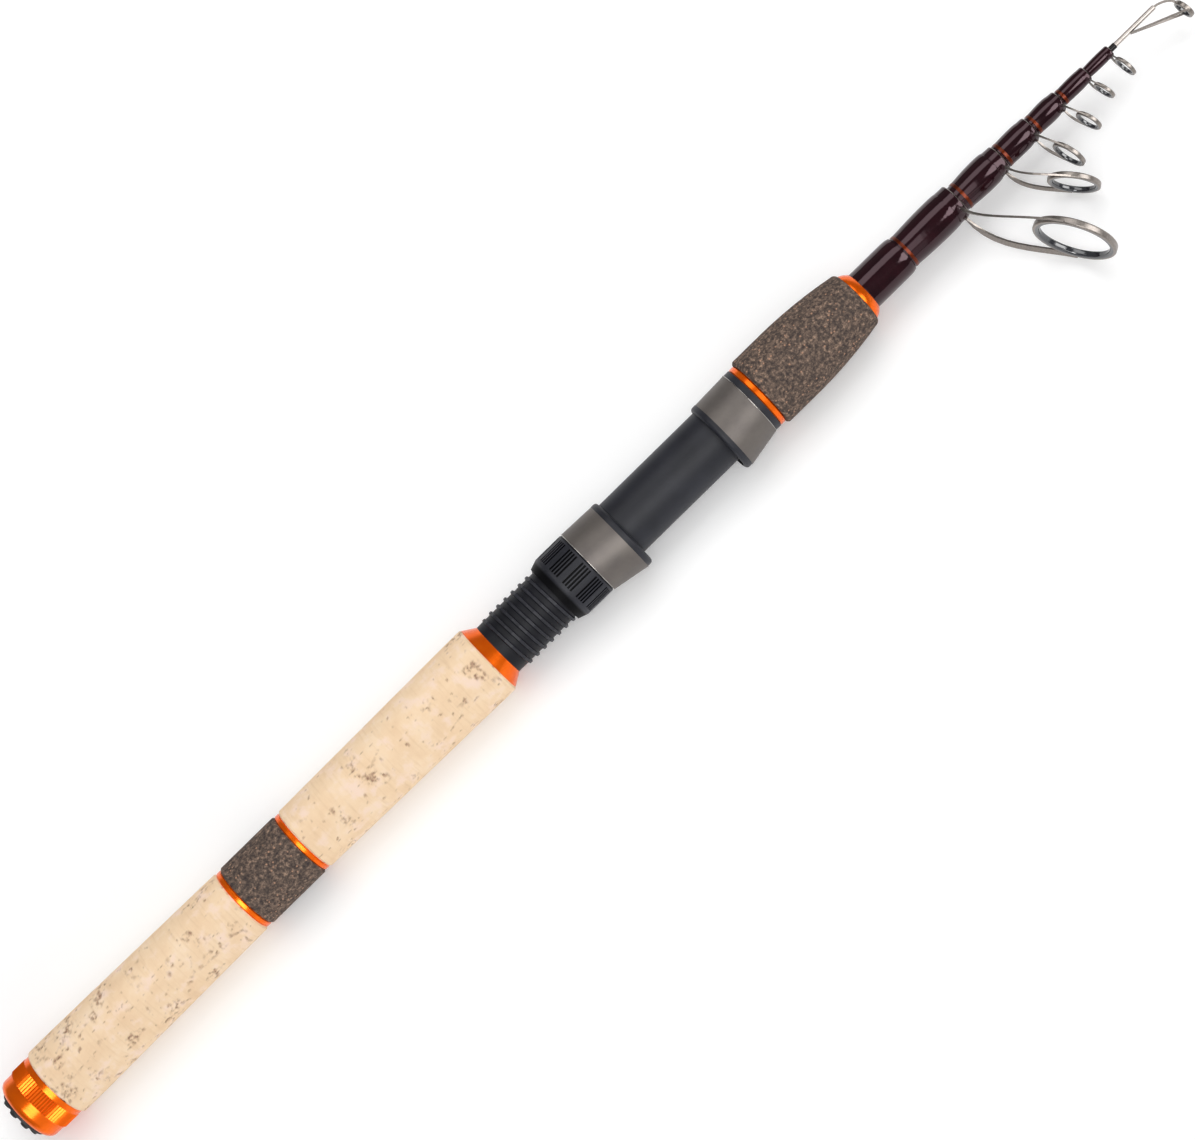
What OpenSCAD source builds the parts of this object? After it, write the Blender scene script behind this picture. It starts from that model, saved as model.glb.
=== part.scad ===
// Telescopic fishing rod, collapsed: a screw-capped cork handle, a reel seat with a screwed hood,
// and eight sections that slide out of each other, with a line guide at the end of each.
// Frame: +X runs along the rod from butt to tip, +Z is up, the guides and the reel foot face -Y.
// The origin is on the rod's axis, on the flat end of the rubber butt button.

/* [Butt cap] */
// Thickness of the rubber button with its studs
button_t = 2.4; // [1.8:0.1:3.5]
// Diameter of the rubber button
button_d = 18; // [16:0.5:20]
// Height of the studs on the button
stud_h = 1.3; // [0.8:0.1:1.5]
// Diameter of a stud at its foot
stud_d = 3.8; // [2.9:0.1:4.4]
// Diameter of a stud at its top
stud_top_d = 2.7; // [1.5:0.1:2.8]
// How far the studs stay behind the boss
stud_back = 0.15; // [0:0.05:0.5]
// Number of studs round the button
stud_count = 8; // [6:1:9]
// Diameter of the flat boss in the middle of the button
boss_d = 7; // [5:0.1:8]
// Diameter of the stem that holds the button in the cap
stem_d = 5; // [3:0.1:7]
// Length of the stem
stem_len = 3.5; // [2:0.1:4.5]
// Diameter of the cap's plain rear band
cap_d = 23.8; // [22:0.1:25]
// Length of the plain rear band with its rounded edge
cap_plain_len = 6; // [5:0.1:10]
// Rounding of the cap's rear edge
cap_round = 2.5; // [1:0.1:2.8]
// Diameter over the cap's knurls
knurl_d = 24.6; // [23:0.1:26]
// Depth of the knurls
knurl_depth = 0.35; // [0.2:0.05:0.6]
// Length of the knurled band
knurl_len = 5.5; // [4:0.1:8]
// Number of knurls round the cap
knurl_count = 72; // [48:1:90]
// Diameter of the narrow band against the cork
cap_band_d = 24.4; // [22:0.1:26]
// Length of the narrow band
cap_band_len = 2; // [1:0.1:4]
// Thickness of the cap's floor between button and foam pad
cap_floor = 5.5; // [5:0.1:8]
// Length of the spigot that screws into the handle
spigot_len = 9; // [7:0.1:12]
// Wall of the spigot
spigot_wall = 1.4; // [1.2:0.1:1.8]
// Radial clearance between spigot and ferrule
screw_clear = 0.2; // [0.1:0.05:0.4]
// Thickness of the O-ring on the spigot
seal_t = 1; // [0.8:0.1:1.2]
// Clearance round the O-ring
seal_clear = 0.05; // [0.02:0.01:0.1]
// Thickness of the foam pad in the cap
pad_t = 5; // [3:0.1:7]
// Clearance of the foam pad in the spigot
pad_clear = 0.1; // [0.05:0.05:0.3]
// Gap between the closed cap and the cork
cap_gap = 0.1; // [0.05:0.05:0.3]
// Wall of the ferrule bonded into the cork
ferrule_wall = 1.4; // [1:0.1:2]
// Length over which the ferrule grips the blank
ferrule_grip = 10; // [6:0.5:20]
// Room between the end of the spigot and the ferrule's shoulder
ferrule_room = 0.6; // [0.3:0.1:2]

/* [Grips] */
// Diameter of the rear cork grip at the cap
rear_grip_d = 26; // [25:0.1:28]
// Length of the rear grip's straight stretch, which a rod holder takes
rear_grip_straight = 9.4; // [6:0.1:20]
// Diameter of the rear grip at its front end
rear_grip_front_d = 24.2; // [23:0.1:26]
// Length of the rear cork grip
rear_grip_len = 83.1; // [60:0.5:120]
// Diameter of the two trim rings between the grips
trim_ring_d = 23.5; // [22:0.1:24]
// Width of each of these two rings
trim_ring_len = 2; // [1:0.1:3]
// Diameter of the composite spacer
spacer_d = 24.2; // [23:0.1:26]
// Length of the composite spacer
spacer_len = 24; // [15:0.5:40]
// Diameter of the main cork grip at its rear end
main_grip_d = 24.2; // [23:0.1:26]
// Diameter of the main cork grip at its front end
main_grip_front_d = 25.9; // [24.5:0.1:28]
// Length of the main cork grip
main_grip_len = 82.5; // [60:0.5:140]
// Chamfer on the edges of the grips
grip_edge = 0.6; // [0.2:0.1:1.5]
// Diameter of the collar's rear face
collar_rear_d = 25; // [22:0.1:26]
// Diameter of the collar's front face
collar_front_d = 19.5; // [18:0.1:21]
// Length of the collar in front of the main grip
collar_len = 4.3; // [3:0.1:7]
// Diameter of the trim ring behind the foregrip
fore_ring_d = 24.2; // [23:0.1:26]
// Width of that ring
fore_ring_len = 2.4; // [1:0.1:4]
// Diameter of the foregrip at its rear end
foregrip_d = 26.5; // [25:0.1:28]
// Length of the foregrip's straight stretch
foregrip_straight = 12.7; // [5:0.1:25]
// Diameter of the foregrip at its front end
foregrip_front_d = 21.2; // [19:0.1:23]
// Length of the foregrip
foregrip_len = 43.5; // [30:0.1:70]
// Rounding of the foregrip's front edge
foregrip_round = 1.6; // [0.6:0.1:3]
// Rear diameter of the winding check
check_d = 18.3; // [16.5:0.1:20]
// Wall of the winding check at its front edge
check_wall = 0.75; // [0.4:0.05:1.8]
// Length of the winding check
check_len = 2.9; // [2:0.1:5]

/* [Reel seat] */
// Diameter of the seat's plain barrel
barrel_d = 20.8; // [19:0.1:24]
// How far the crests of the seat's thread stand above the barrel
thread_rise = 0.08; // [0.02:0.01:0.2]
// Depth of the thread
thread_depth = 0.73; // [0.5:0.01:1]
// Pitch of the thread
thread_pitch = 3.2; // [2.4:0.1:4]
// Width of a thread ridge at its root
ridge_root = 2; // [1.4:0.1:2.2]
// Width of a thread ridge at its crest
ridge_crest = 0.9; // [0.4:0.1:1.2]
// Length of the threaded part of the seat
thread_len = 53; // [45:0.5:60]
// Angle at which the thread starts
thread_start = 125; // [0:5:355]
// Wall of the arbor between blank and seat
arbor_wall = 1.15; // [0.6:0.05:1.6]
// How far the arbor's ends lie inside the seat
arbor_inset = 2; // [1:0.5:6]
// Thread left bare behind the nut
nut_back = 25.3; // [24.2:0.1:27]
// Wall of the hood nut over the thread
nut_wall = 1.47; // [1.1:0.01:2.5]
// Length of the hood nut
nut_len = 14.5; // [11:0.1:18]
// Wall at the nut's rear face
nut_rear_wall = 0.32; // [0.3:0.01:1]
// Length of the nut's rear taper
nut_taper = 3.4; // [2:0.1:5]
// Width of the plain rim at each end of the nut's grooves
nut_rim = 1; // [0.6:0.1:2]
// Groups of grip grooves round the nut
groove_groups = 12; // [8:1:13]
// Angle of the first group, from +Z toward the reel foot
groove_start = 25; // [0:1:30]
// Grooves in each group
groove_count = 4; // [2:1:4]
// Width of a groove
groove_w = 0.7; // [0.4:0.05:0.9]
// Depth of a groove
groove_depth = 0.5; // [0.3:0.05:0.7]
// Angle from one groove to the next in a group
groove_step = 5.5; // [5:0.5:7]
// Radial clearance of nut and hood over the thread
hood_clear = 0.15; // [0.08:0.01:0.3]
// Gap between nut and hood
nut_gap = 0.2; // [0.1:0.05:0.5]
// Length of each hood's metal sleeve
sleeve_len = 13; // [10:0.1:18]
// Thickness of the metal sleeves
sleeve_wall = 0.7; // [0.5:0.05:0.9]
// Wall of each hood under its sleeve's narrow end
hood_wall = 0.82; // [0.6:0.01:1.5]
// How much wider each hood is at its lip, in radius
hood_flare = 0.95; // [0.4:0.05:1.8]
// How far the lip's centre lies toward the reel foot
lip_offset = 1.45; // [1:0.05:2]
// Length of each hood's lip
lip_len = 2.3; // [2:0.1:4]
// How far the lip stands proud of its sleeve
lip_proud = 0.05; // [0.05:0.05:0.4]
// Wall of the lip round the reel foot
lip_wall = 1.5; // [1.2:0.1:2]
// Rounding of the lip's outer edge
lip_round = 1.2; // [0.5:0.1:1.8]
// How far the hollow for the reel foot stops short of a hood's narrow end
pocket_inset = 1; // [0.5:0.1:3]
// Bare barrel between the two hoods
foot_gap = 42; // [34:0.1:50]
// How far the flange in front of the fixed hood stands out from the barrel
flange_h = 1.7; // [1:0.1:2.6]
// Width of the flange
flange_len = 2.2; // [1.5:0.1:4]

/* [Sections] */
// Diameter of the tip rod, in the middle of the nest
tip_rod_d = 1.5; // [1.3:0.05:1.8]
// Wall at the mouth of each tube, butt section first
mouth_wall = [0.65, 1.15, 0.5, 0.6, 0.5, 0.5, 0.6]; // [0.5:0.05:1.3]
// Bare length of each section when collapsed, butt section first
bare_len = [17.2, 24.2, 19.3, 13.6, 12.6, 11.9, 10.3]; // [8:0.1:30]
// Play of a tube in the mouth that it slides through
slide_play = 0.2; // [0.15:0.05:0.25]
// How far a section's base is wider than that mouth, each side
lock_bite = 0.08; // [0.05:0.01:0.1]
// Length of the tapered lock between two extended sections
lock_len = 72; // [50:1:90]
// How much each tube thins, in radius, over its lock toward its whipping
blank_taper = 0.05; // [0.03:0.01:0.09]
// Clearance left in the tapered lock
lock_clear = 0.04; // [0.02:0.01:0.05]
// Further relief of the bore behind the lock
bore_relief = 0.03; // [0.02:0.01:0.05]
// Gap between each mouth and the next section's shoulder
stop_gap = 0.2; // [0.1:0.05:0.5]
// Gap between the foam pad and the sections' bases
base_gap = 0.4; // [0.2:0.1:1]
// Clearance of the widest base in the cap
base_clear = 0.35; // [0.2:0.05:0.6]
// Chamfer on the edge of each mouth
mouth_edge = 0.2; // [0.1:0.05:0.3]
// Thickness of each whipping at its rear end, butt section first
whip_wall = [0.43, 0.32, 0.4, 0.65, 0.55, 0.5, 0.43]; // [0.3:0.01:0.8]
// Greatest thickness of each whipping
whip_peak = [0.43, 0.91, 1.2, 0.9, 1, 0.75, 0.62]; // [0.4:0.01:1.4]
// Place of the trim ring behind each whipping's edge, section 2 first
trim_inset = [0.5, 1.5, 0.6, 0.7, 0.5]; // [0.3:0.1:3]
// Width of the trim rings on the sections
trim_w = 1.1; // [0.6:0.1:1.6]
// Depth to which those rings are let into the whipping
trim_depth = 0.2; // [0.1:0.02:0.22]
// Height to which they stand out
trim_proud = 0.05; // [0.02:0.01:0.1]

/* [Guides] */
// Length of the collar that holds each guide, section 2 first
foot_len = [3, 2.8, 2.4, 2.2, 2, 1.8]; // [1.4:0.1:5]
// Wall of the collars
foot_wall = 0.45; // [0.35:0.05:0.6]
// Outer diameter of each guide ring
ring_d = [27.6, 17.2, 11.8, 9.1, 7.7, 8]; // [6:0.1:32]
// Distance of each ring's centre from the rod's axis
ring_reach = [38.2, 22.8, 15.9, 12.4, 8, 7.2]; // [6.5:0.1:45]
// Distance of each ring's centre ahead of its section's mouth
ring_ahead = [15.9, 10.5, 1.7, 1.1, 0.2, 0]; // [0:0.1:20]
// Forward lean of each ring
ring_lean = [28.6, 37, 13, 15, 12, 6]; // [0:0.5:45]
// Turn of each guide about the rod
guide_turn = [5, -6, 4, 4, -12, -14]; // [-20:1:20]
// Length of each ring along its own axis
ring_len = [2.4, 2, 1.5, 1.3, 1.2, 1.2]; // [1:0.1:3]
// Thickness of the metal of each ring
ring_wall = [1, 0.8, 0.6, 0.55, 0.5, 0.5]; // [0.4:0.05:1.4]
// Thickness of the ceramic insert in each ring
insert_wall = [1.3, 1, 0.8, 0.7, 0.65, 0.65]; // [0.5:0.05:1.6]
// Straight land in the bore of each insert
insert_land = [0.8, 0.7, 0.5, 0.45, 0.4, 0.4]; // [0.3:0.05:1]
// Width of the legs of each guide
leg_w = [2.2, 1.6, 1.2, 1, 0.9, 0.9]; // [0.7:0.1:3]
// Thickness of the legs of each guide
leg_t = [0.7, 0.6, 0.5, 0.45, 0.4, 0.4]; // [0.3:0.05:1]
// Angle at which the two legs leave the collar
leg_spread = 35; // [15:1:50]
// Angle on the ring, toward the rod, at which the legs arrive
leg_arrive = 5; // [0:1:50]
// Tilt of the flat of the legs
leg_tilt = 32; // [0:1:60]

/* [Tip] */
// Bare length of the tip rod's shoulder
tip_shoulder = 2.2; // [1:0.1:5]
// How far that shoulder stands out over the mouth behind it
tip_stop = 0.1; // [0.05:0.05:0.3]
// Diameter of the tip rod inside the tip-top tube
tip_core_d = 1; // [0.7:0.05:1.2]
// Outer diameter of the tip-top tube
tip_tube_d = 1.7; // [1.5:0.05:2]
// Length of the tip-top tube
tip_tube_len = 17.6; // [12:0.1:25]
// Closed end of the tip-top tube ahead of the rod
tip_tube_end = 1.2; // [0.8:0.1:3]
// Outer diameter of the tip-top ring
tip_ring_d = 7.2; // [6:0.1:9]
// Distance of the tip-top ring's centre from the rod's axis
tip_ring_reach = 7.2; // [6:0.1:9]
// Distance of that centre ahead of the tip-top tube
tip_ring_ahead = 6.3; // [4:0.1:9]
// Forward lean of the tip-top ring
tip_ring_lean = 8; // [0:0.5:25]
// Turn of the tip-top about the rod
tip_turn = -18; // [-20:1:20]
// Length of the tip-top ring along its own axis
tip_ring_len = 1.6; // [1:0.1:2.2]
// Thickness of the metal of the tip-top ring
tip_ring_wall = 0.5; // [0.4:0.05:0.8]
// Thickness of the insert in the tip-top ring
tip_insert_wall = 0.65; // [0.5:0.05:1]
// Straight land in the bore of that insert
tip_insert_land = 0.5; // [0.3:0.05:0.8]
// Thickness of the tip-top's wires
tip_wire = 0.7; // [0.5:0.05:0.9]
// How far the neck wire runs ahead of the tube before it bends to the ring
neck_lead = 2.5; // [1.5:0.1:4]
// Height of the neck wire's bend over the ring
neck_rise = 1.8; // [1:0.1:3]
// Where the braces leave the tip-top tube, from its rear end
brace_start = 6.3; // [3:0.1:10]
// Distance of each brace's root from the middle of the tip-top
brace_apart = 0.42; // [0.3:0.02:0.6]
// Angle on the ring, away from the rod, at which the braces arrive
brace_arrive = 20; // [0:1:45]

/* [Hidden] */
$fn = 64;
last = 8;
sections = [for (i = [2 : last - 1]) i];
// Sections with an orange band; the thinnest one has none
banded = [for (i = [2 : last - 2]) i];
arc_steps = 6;
eps = 0.01;
// How far cutters run past what they cut
over = 1;
// Small broken edges
small_edge = 0.3;

// Diameters out from the middle of the nest: each tube slides in the mouth of the one before it
function mouth_d(i) = tube_d(i + 1) + 2 * slide_play;
function tube_d(i) = i == last ? tip_rod_d : mouth_d(i) + 2 * mouth_wall[i - 1];
blank_d = tube_d(1);
function base_r(i) = mouth_d(i - 1) / 2 + lock_bite;
function bore_r(i) = mouth_d(i) / 2 + lock_bite + lock_clear + bore_relief;
lock_slope = (lock_bite + lock_clear) / lock_len;

// Stations along the rod, from the butt forward
cap_front = button_t + cap_plain_len + knurl_len + cap_band_len;
pad_x = button_t + cap_floor;
base_x = pad_x + pad_t + base_gap;
spigot_end = cap_front + spigot_len;
rear_grip_x = cap_front + cap_gap;
shoulder_x = rear_grip_x + spigot_len + ferrule_room;
ferrule_end = shoulder_x + ferrule_grip;
rear_ring_x = rear_grip_x + rear_grip_len;
spacer_x = rear_ring_x + trim_ring_len;
middle_ring_x = spacer_x + spacer_len;
main_grip_x = middle_ring_x + trim_ring_len;
collar_x = main_grip_x + main_grip_len;
seat_x = collar_x + collar_len;
nut_x = seat_x + nut_back;
hood_x = nut_x + nut_len + nut_gap;
hood_lip_x = hood_x + sleeve_len;
hood_end = hood_lip_x + lip_len;
fixed_lip_x = hood_end + foot_gap;
fixed_sleeve_x = fixed_lip_x + lip_len;
flange_x = fixed_sleeve_x + sleeve_len;
seat_end = flange_x + flange_len;
foregrip_x = seat_end + fore_ring_len;
check_x = foregrip_x + foregrip_len;
check_end = check_x + check_len;
function whip_x(i) = i == 1 ? check_end : mouth_x(i - 1) + stop_gap;
function mouth_x(i) = whip_x(i) + bare_len[i - 1];
tip_x = mouth_x(last - 1) + stop_gap + tip_shoulder;
tip_tube_front = tip_x + tip_tube_len;

// Butt fits
spigot_bore_r = base_r(2) + base_clear;
spigot_r = spigot_bore_r + spigot_wall;
ferrule_bore_r = spigot_r + screw_clear;
ferrule_r = ferrule_bore_r + ferrule_wall;
seal_r = ferrule_bore_r - seal_clear - seal_t / 2;
seal_x = cap_front + 2 * seal_t;
seal_groove = 1.3 * seal_t;

// Reel seat fits
seat_bore_r = blank_d / 2 + arbor_wall;
thread_r = barrel_d / 2 + thread_rise;
thread_root_r = thread_r - thread_depth;
hood_bore_r = thread_r + hood_clear;
nut_r = hood_bore_r + nut_wall;
core_r = hood_bore_r + hood_wall;
core_lip_r = core_r + hood_flare;
sleeve_lip_r = core_lip_r + sleeve_wall;

// A body turned about the rod's axis from [radius, station] points
module turned(points) rotate([0, 90, 0]) rotate_extrude() polygon(points);

// A straight tube on the rod's axis
module sleeve(x0, x1, outer_r, inner_r)
    turned([[inner_r, x0], [outer_r, x0], [outer_r, x1], [inner_r, x1]]);

// A solid cylinder on the rod's axis
module rod(x0, x1, r) translate([x0, 0, 0]) rotate([0, 90, 0]) cylinder(h = x1 - x0, r = r);

// Points of a quarter round, from angle a to b about a centre
function arc(centre, r, a, b) =
    [for (k = [0 : arc_steps]) let(t = a + (b - a) * k / arc_steps) centre + r * [cos(t), sin(t)]];

// A closed skin over rings of four points
module skin(rings) {
    n = len(rings) - 1;
    sides = [for (k = [0 : n - 1]) for (j = [0 : 3]) let(a = 4 * k + j, b = 4 * k + (j + 1) % 4)
        each [[a, b, b + 4], [a, b + 4, a + 4]]];
    front = 4 * n;
    caps = [[0, 3, 2], [0, 2, 1], [front, front + 1, front + 2], [front, front + 2, front + 3]];
    polyhedron([for (ring = rings) each ring], concat(sides, caps));
}

// A point on the cubic curve through control points p, and its direction
function bezier(p, t) = pow(1 - t, 3) * p[0] + 3 * pow(1 - t, 2) * t * p[1]
    + 3 * (1 - t) * t * t * p[2] + t * t * t * p[3];
function unit(v) = v / norm(v);
function heading(p, t) = unit(pow(1 - t, 2) * (p[1] - p[0]) + 2 * (1 - t) * t * (p[2] - p[1])
    + t * t * (p[3] - p[2]));

// A flat strip of width w and thickness t along a curve, its width lying along flat
module strip(p, w, t, flat, steps = 10) {
    skin([for (k = [0 : steps])
        let(u = k / steps, c = bezier(p, u), h = heading(p, u),
            side = unit(flat - (flat * h) * h) * w / 2, up = unit(cross(h, side)) * t / 2)
        [c + side + up, c + side - up, c - side - up, c - side + up]]);
}

// Butt end
module butt_button() color("#1c1c1e") {
    stem_end = button_t + stem_len;
    turned([[0, stud_h], [button_d / 2 - small_edge, stud_h], [button_d / 2, stud_h + small_edge],
        [button_d / 2, button_t], [stem_d / 2, button_t], [stem_d / 2, stem_end], [0, stem_end]]);
    rod(0, stud_h + eps, boss_d / 2);
    stud_pitch_r = (boss_d / 2 + button_d / 2) / 2;
    for (k = [0 : stud_count - 1]) rotate([360 * k / stud_count, 0, 0])
        translate([stud_back, stud_pitch_r, 0]) rotate([0, 90, 0])
            cylinder(h = stud_h - stud_back + eps, d1 = stud_top_d, d2 = stud_d);
}

module knurled_band(x0, x1, outer_r, depth, count)
    translate([x0, 0, 0]) rotate([0, 90, 0]) linear_extrude(x1 - x0)
        polygon([for (k = [0 : 2 * count - 1]) let(a = 180 * k / count, r = outer_r - (k % 2) * depth)
            r * [cos(a), sin(a)]]);

module butt_cap() color("#e8640a") difference() {
    knurl_x = button_t + cap_plain_len;
    union() {
        turned(concat([[0, button_t]],
            arc([cap_d / 2 - cap_round, button_t + cap_round], cap_round, -90, 0),
            [[cap_d / 2, knurl_x], [0, knurl_x]]));
        knurled_band(knurl_x, knurl_x + knurl_len, knurl_d / 2, knurl_depth, knurl_count);
        rod(knurl_x + knurl_len, cap_front, cap_band_d / 2);
        rod(button_t + cap_round, spigot_end, spigot_r);
    }
    rod(button_t - over, button_t + stem_len, stem_d / 2);
    rod(pad_x, spigot_end + over, spigot_bore_r);
    sleeve(seal_x - seal_groove / 2, seal_x + seal_groove / 2, ferrule_bore_r,
        seal_r - seal_t / 2 - seal_clear);
}

module butt_seal() color("#222222")
    translate([seal_x, 0, 0]) rotate([0, 90, 0]) rotate_extrude() translate([seal_r, 0]) circle(d = seal_t);

module butt_pad() color("#555555") rod(pad_x, pad_x + pad_t, spigot_bore_r - pad_clear);

module butt_ferrule() color("#b0aca6") turned([[ferrule_bore_r, rear_grip_x], [ferrule_r, rear_grip_x],
    [ferrule_r, ferrule_end], [blank_d / 2, ferrule_end], [blank_d / 2, shoulder_x],
    [ferrule_bore_r, shoulder_x]]);

// Handle
module rear_cork_grip() color("#e2c49b") turned([[ferrule_r, rear_grip_x],
    [rear_grip_d / 2 - grip_edge, rear_grip_x], [rear_grip_d / 2, rear_grip_x + grip_edge],
    [rear_grip_d / 2, rear_grip_x + rear_grip_straight], [rear_grip_front_d / 2, rear_ring_x - grip_edge],
    [rear_grip_front_d / 2 - grip_edge, rear_ring_x], [blank_d / 2, rear_ring_x], [blank_d / 2, ferrule_end],
    [ferrule_r, ferrule_end]]);

module trim_ring(x, d, length) color("#e8640a") {
    edge = length / 5;
    turned([[blank_d / 2, x], [d / 2 - edge, x], [d / 2, x + edge], [d / 2, x + length - edge],
        [d / 2 - edge, x + length], [blank_d / 2, x + length]]);
}

// A grip bored for the blank, with chamfered edges
module straight_grip(x, length, rear_d, front_d) turned([[blank_d / 2, x], [rear_d / 2 - grip_edge, x],
    [rear_d / 2, x + grip_edge], [front_d / 2, x + length - grip_edge], [front_d / 2 - grip_edge, x + length],
    [blank_d / 2, x + length]]);

module rear_trim_ring() trim_ring(rear_ring_x, trim_ring_d, trim_ring_len);
module grip_spacer() color("#5e5047") straight_grip(spacer_x, spacer_len, spacer_d, spacer_d);
module middle_trim_ring() trim_ring(middle_ring_x, trim_ring_d, trim_ring_len);
module main_cork_grip() color("#e2c49b")
    straight_grip(main_grip_x, main_grip_len, main_grip_d, main_grip_front_d);

module grip_collar() color("#e8640a") turned([[blank_d / 2, collar_x], [collar_rear_d / 2, collar_x],
    [collar_front_d / 2, seat_x], [blank_d / 2, seat_x]]);

module fore_trim_ring() trim_ring(seat_end, fore_ring_d, fore_ring_len);

module foregrip() color("#5e5047") {
    drop = (foregrip_d - foregrip_front_d) / 2;
    taper_x = foregrip_x + foregrip_straight;
    taper_len = foregrip_len - foregrip_straight - foregrip_round;
    steps = 8;
    turned(concat([[blank_d / 2, foregrip_x], [foregrip_d / 2 - grip_edge, foregrip_x],
        [foregrip_d / 2, foregrip_x + grip_edge]],
        [for (k = [0 : steps]) let(t = k / steps) [foregrip_d / 2 - drop * t * t, taper_x + taper_len * t]],
        [for (k = [1 : arc_steps]) let(a = 90 * k / arc_steps)
            [foregrip_front_d / 2 - foregrip_round * (1 - cos(a)), check_x - foregrip_round * (1 - sin(a))]],
        [[blank_d / 2, check_x]]));
}

module winding_check() color("#e8640a") {
    drop = check_d / 2 - blank_d / 2 - check_wall;
    curve = 1.6;
    turned(concat([[blank_d / 2, check_x]],
        [for (k = [0 : arc_steps]) let(t = k / arc_steps)
            [check_d / 2 - drop * pow(t, curve), check_x + check_len * t]],
        [[blank_d / 2, check_end]]));
}

// Reel seat
// The outline of a hood: a cone leaning toward the reel foot, from its narrow end at x0 to its lip at x1,
// and as far past that as it has to run into the lip
module hood_cone(x0, x1, narrow_r, lip_r, offset, past = 0) {
    rise = x1 - x0;
    lean = atan(offset / rise);
    slope = (lip_r - narrow_r) / rise;
    extra = past + 3;
    along = rise > 0 ? 90 : -90;
    intersection() {
        translate([x0, 0, 0]) rotate([0, along, 0]) cylinder(h = abs(rise) + past, r = 2 * lip_r);
        translate([x0, 0, 0]) rotate([0, 0, -lean]) rotate([0, along, 0])
            translate([0, 0, -extra]) cylinder(h = abs(rise) + 2 * extra, r1 = narrow_r - abs(slope) * extra,
                r2 = lip_r + abs(slope) * extra);
    }
}

// The black lip at a hood's mouth, rounded outward, with the pocket for the reel foot
module hood_lip(x0, x1) {
    lip_r = sleeve_lip_r + lip_proud;
    out = x1 > x0 ? 1 : -1;
    translate([0, -lip_offset, 0]) turned(concat([[0, x0], [lip_r, x0]],
        [for (k = [0 : arc_steps]) let(a = 90 * k / arc_steps)
            [lip_r - lip_round * (1 - cos(a)), x1 - out * lip_round * (1 - sin(a))]], [[0, x1]]));
}

// The hollow that takes the reel foot, open at the lip
module foot_pocket(x0, x1) hood_cone(x0, x1, hood_bore_r, sleeve_lip_r - lip_wall, lip_offset);

module moving_hood() color("#2b2c31") difference() {
    union() {
        hood_cone(hood_x, hood_lip_x, core_r, core_lip_r, lip_offset, lip_len / 2);
        hood_lip(hood_lip_x, hood_end);
    }
    rod(hood_x - over, hood_end + over, hood_bore_r);
    foot_pocket(hood_x + pocket_inset, hood_end + eps);
}

module hood_sleeve(x0, x1) color("#7a7169") difference() {
    hood_cone(x0, x1, core_r + sleeve_wall, sleeve_lip_r, lip_offset);
    hood_cone(x0, x1, core_r, core_lip_r, lip_offset);
}

module moving_hood_sleeve() hood_sleeve(hood_x, hood_lip_x);
module fixed_hood_sleeve() hood_sleeve(flange_x, fixed_sleeve_x);

module seat_thread() {
    ring_steps = 20;
    sink = 0.4;
    count = floor((thread_len - ridge_root) / thread_pitch * ring_steps);
    skin([for (k = [0 : count])
        let(a = thread_start + 360 * k / ring_steps,
            x = seat_x + ridge_root / 2 + thread_pitch * k / ring_steps,
            fade = min(1, k / ring_steps, (count - k) / ring_steps),
            inner = thread_root_r - sink,
            outer = thread_root_r - sink / 2 + fade * (sink / 2 + thread_depth))
        [for (p = [[inner, -ridge_root / 2], [outer, -ridge_crest / 2], [outer, ridge_crest / 2],
                   [inner, ridge_root / 2]])
            [x + p[1], p[0] * cos(a), p[0] * sin(a)]]]);
}

module reel_seat_body() color("#26272b") difference() {
    union() {
        rod(seat_x, seat_end, thread_root_r);
        rod(seat_x + thread_len, seat_end, barrel_d / 2);
        seat_thread();
        difference() {
            union() {
                hood_lip(fixed_sleeve_x, fixed_lip_x);
                hood_cone(flange_x, fixed_sleeve_x, core_r, core_lip_r, lip_offset, lip_len / 2);
            }
            foot_pocket(flange_x - pocket_inset, fixed_lip_x - eps);
        }
        rod(flange_x, seat_end, barrel_d / 2 + flange_h);
    }
    rod(seat_x - over, seat_end + over, seat_bore_r);
}

module reel_seat_arbor() color("#c9b896")
    sleeve(seat_x + arbor_inset, seat_end - arbor_inset, seat_bore_r, blank_d / 2);

module hood_nut() color("#232428") difference() {
    nut_end = nut_x + nut_len;
    turned([[hood_bore_r, nut_x], [hood_bore_r + nut_rear_wall, nut_x], [nut_r, nut_x + nut_taper],
        [nut_r, nut_end - small_edge], [nut_r - small_edge, nut_end], [hood_bore_r, nut_end]]);
    for (g = [0 : groove_groups - 1]) for (k = [0 : groove_count - 1])
        rotate([groove_start + 360 * g / groove_groups + (k - (groove_count - 1) / 2) * groove_step, 0, 0])
            translate([nut_x + nut_taper + nut_rim, -groove_w / 2, nut_r - groove_depth])
                cube([nut_len - nut_taper - 2 * nut_rim, groove_w, nut_r]);
}

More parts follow.
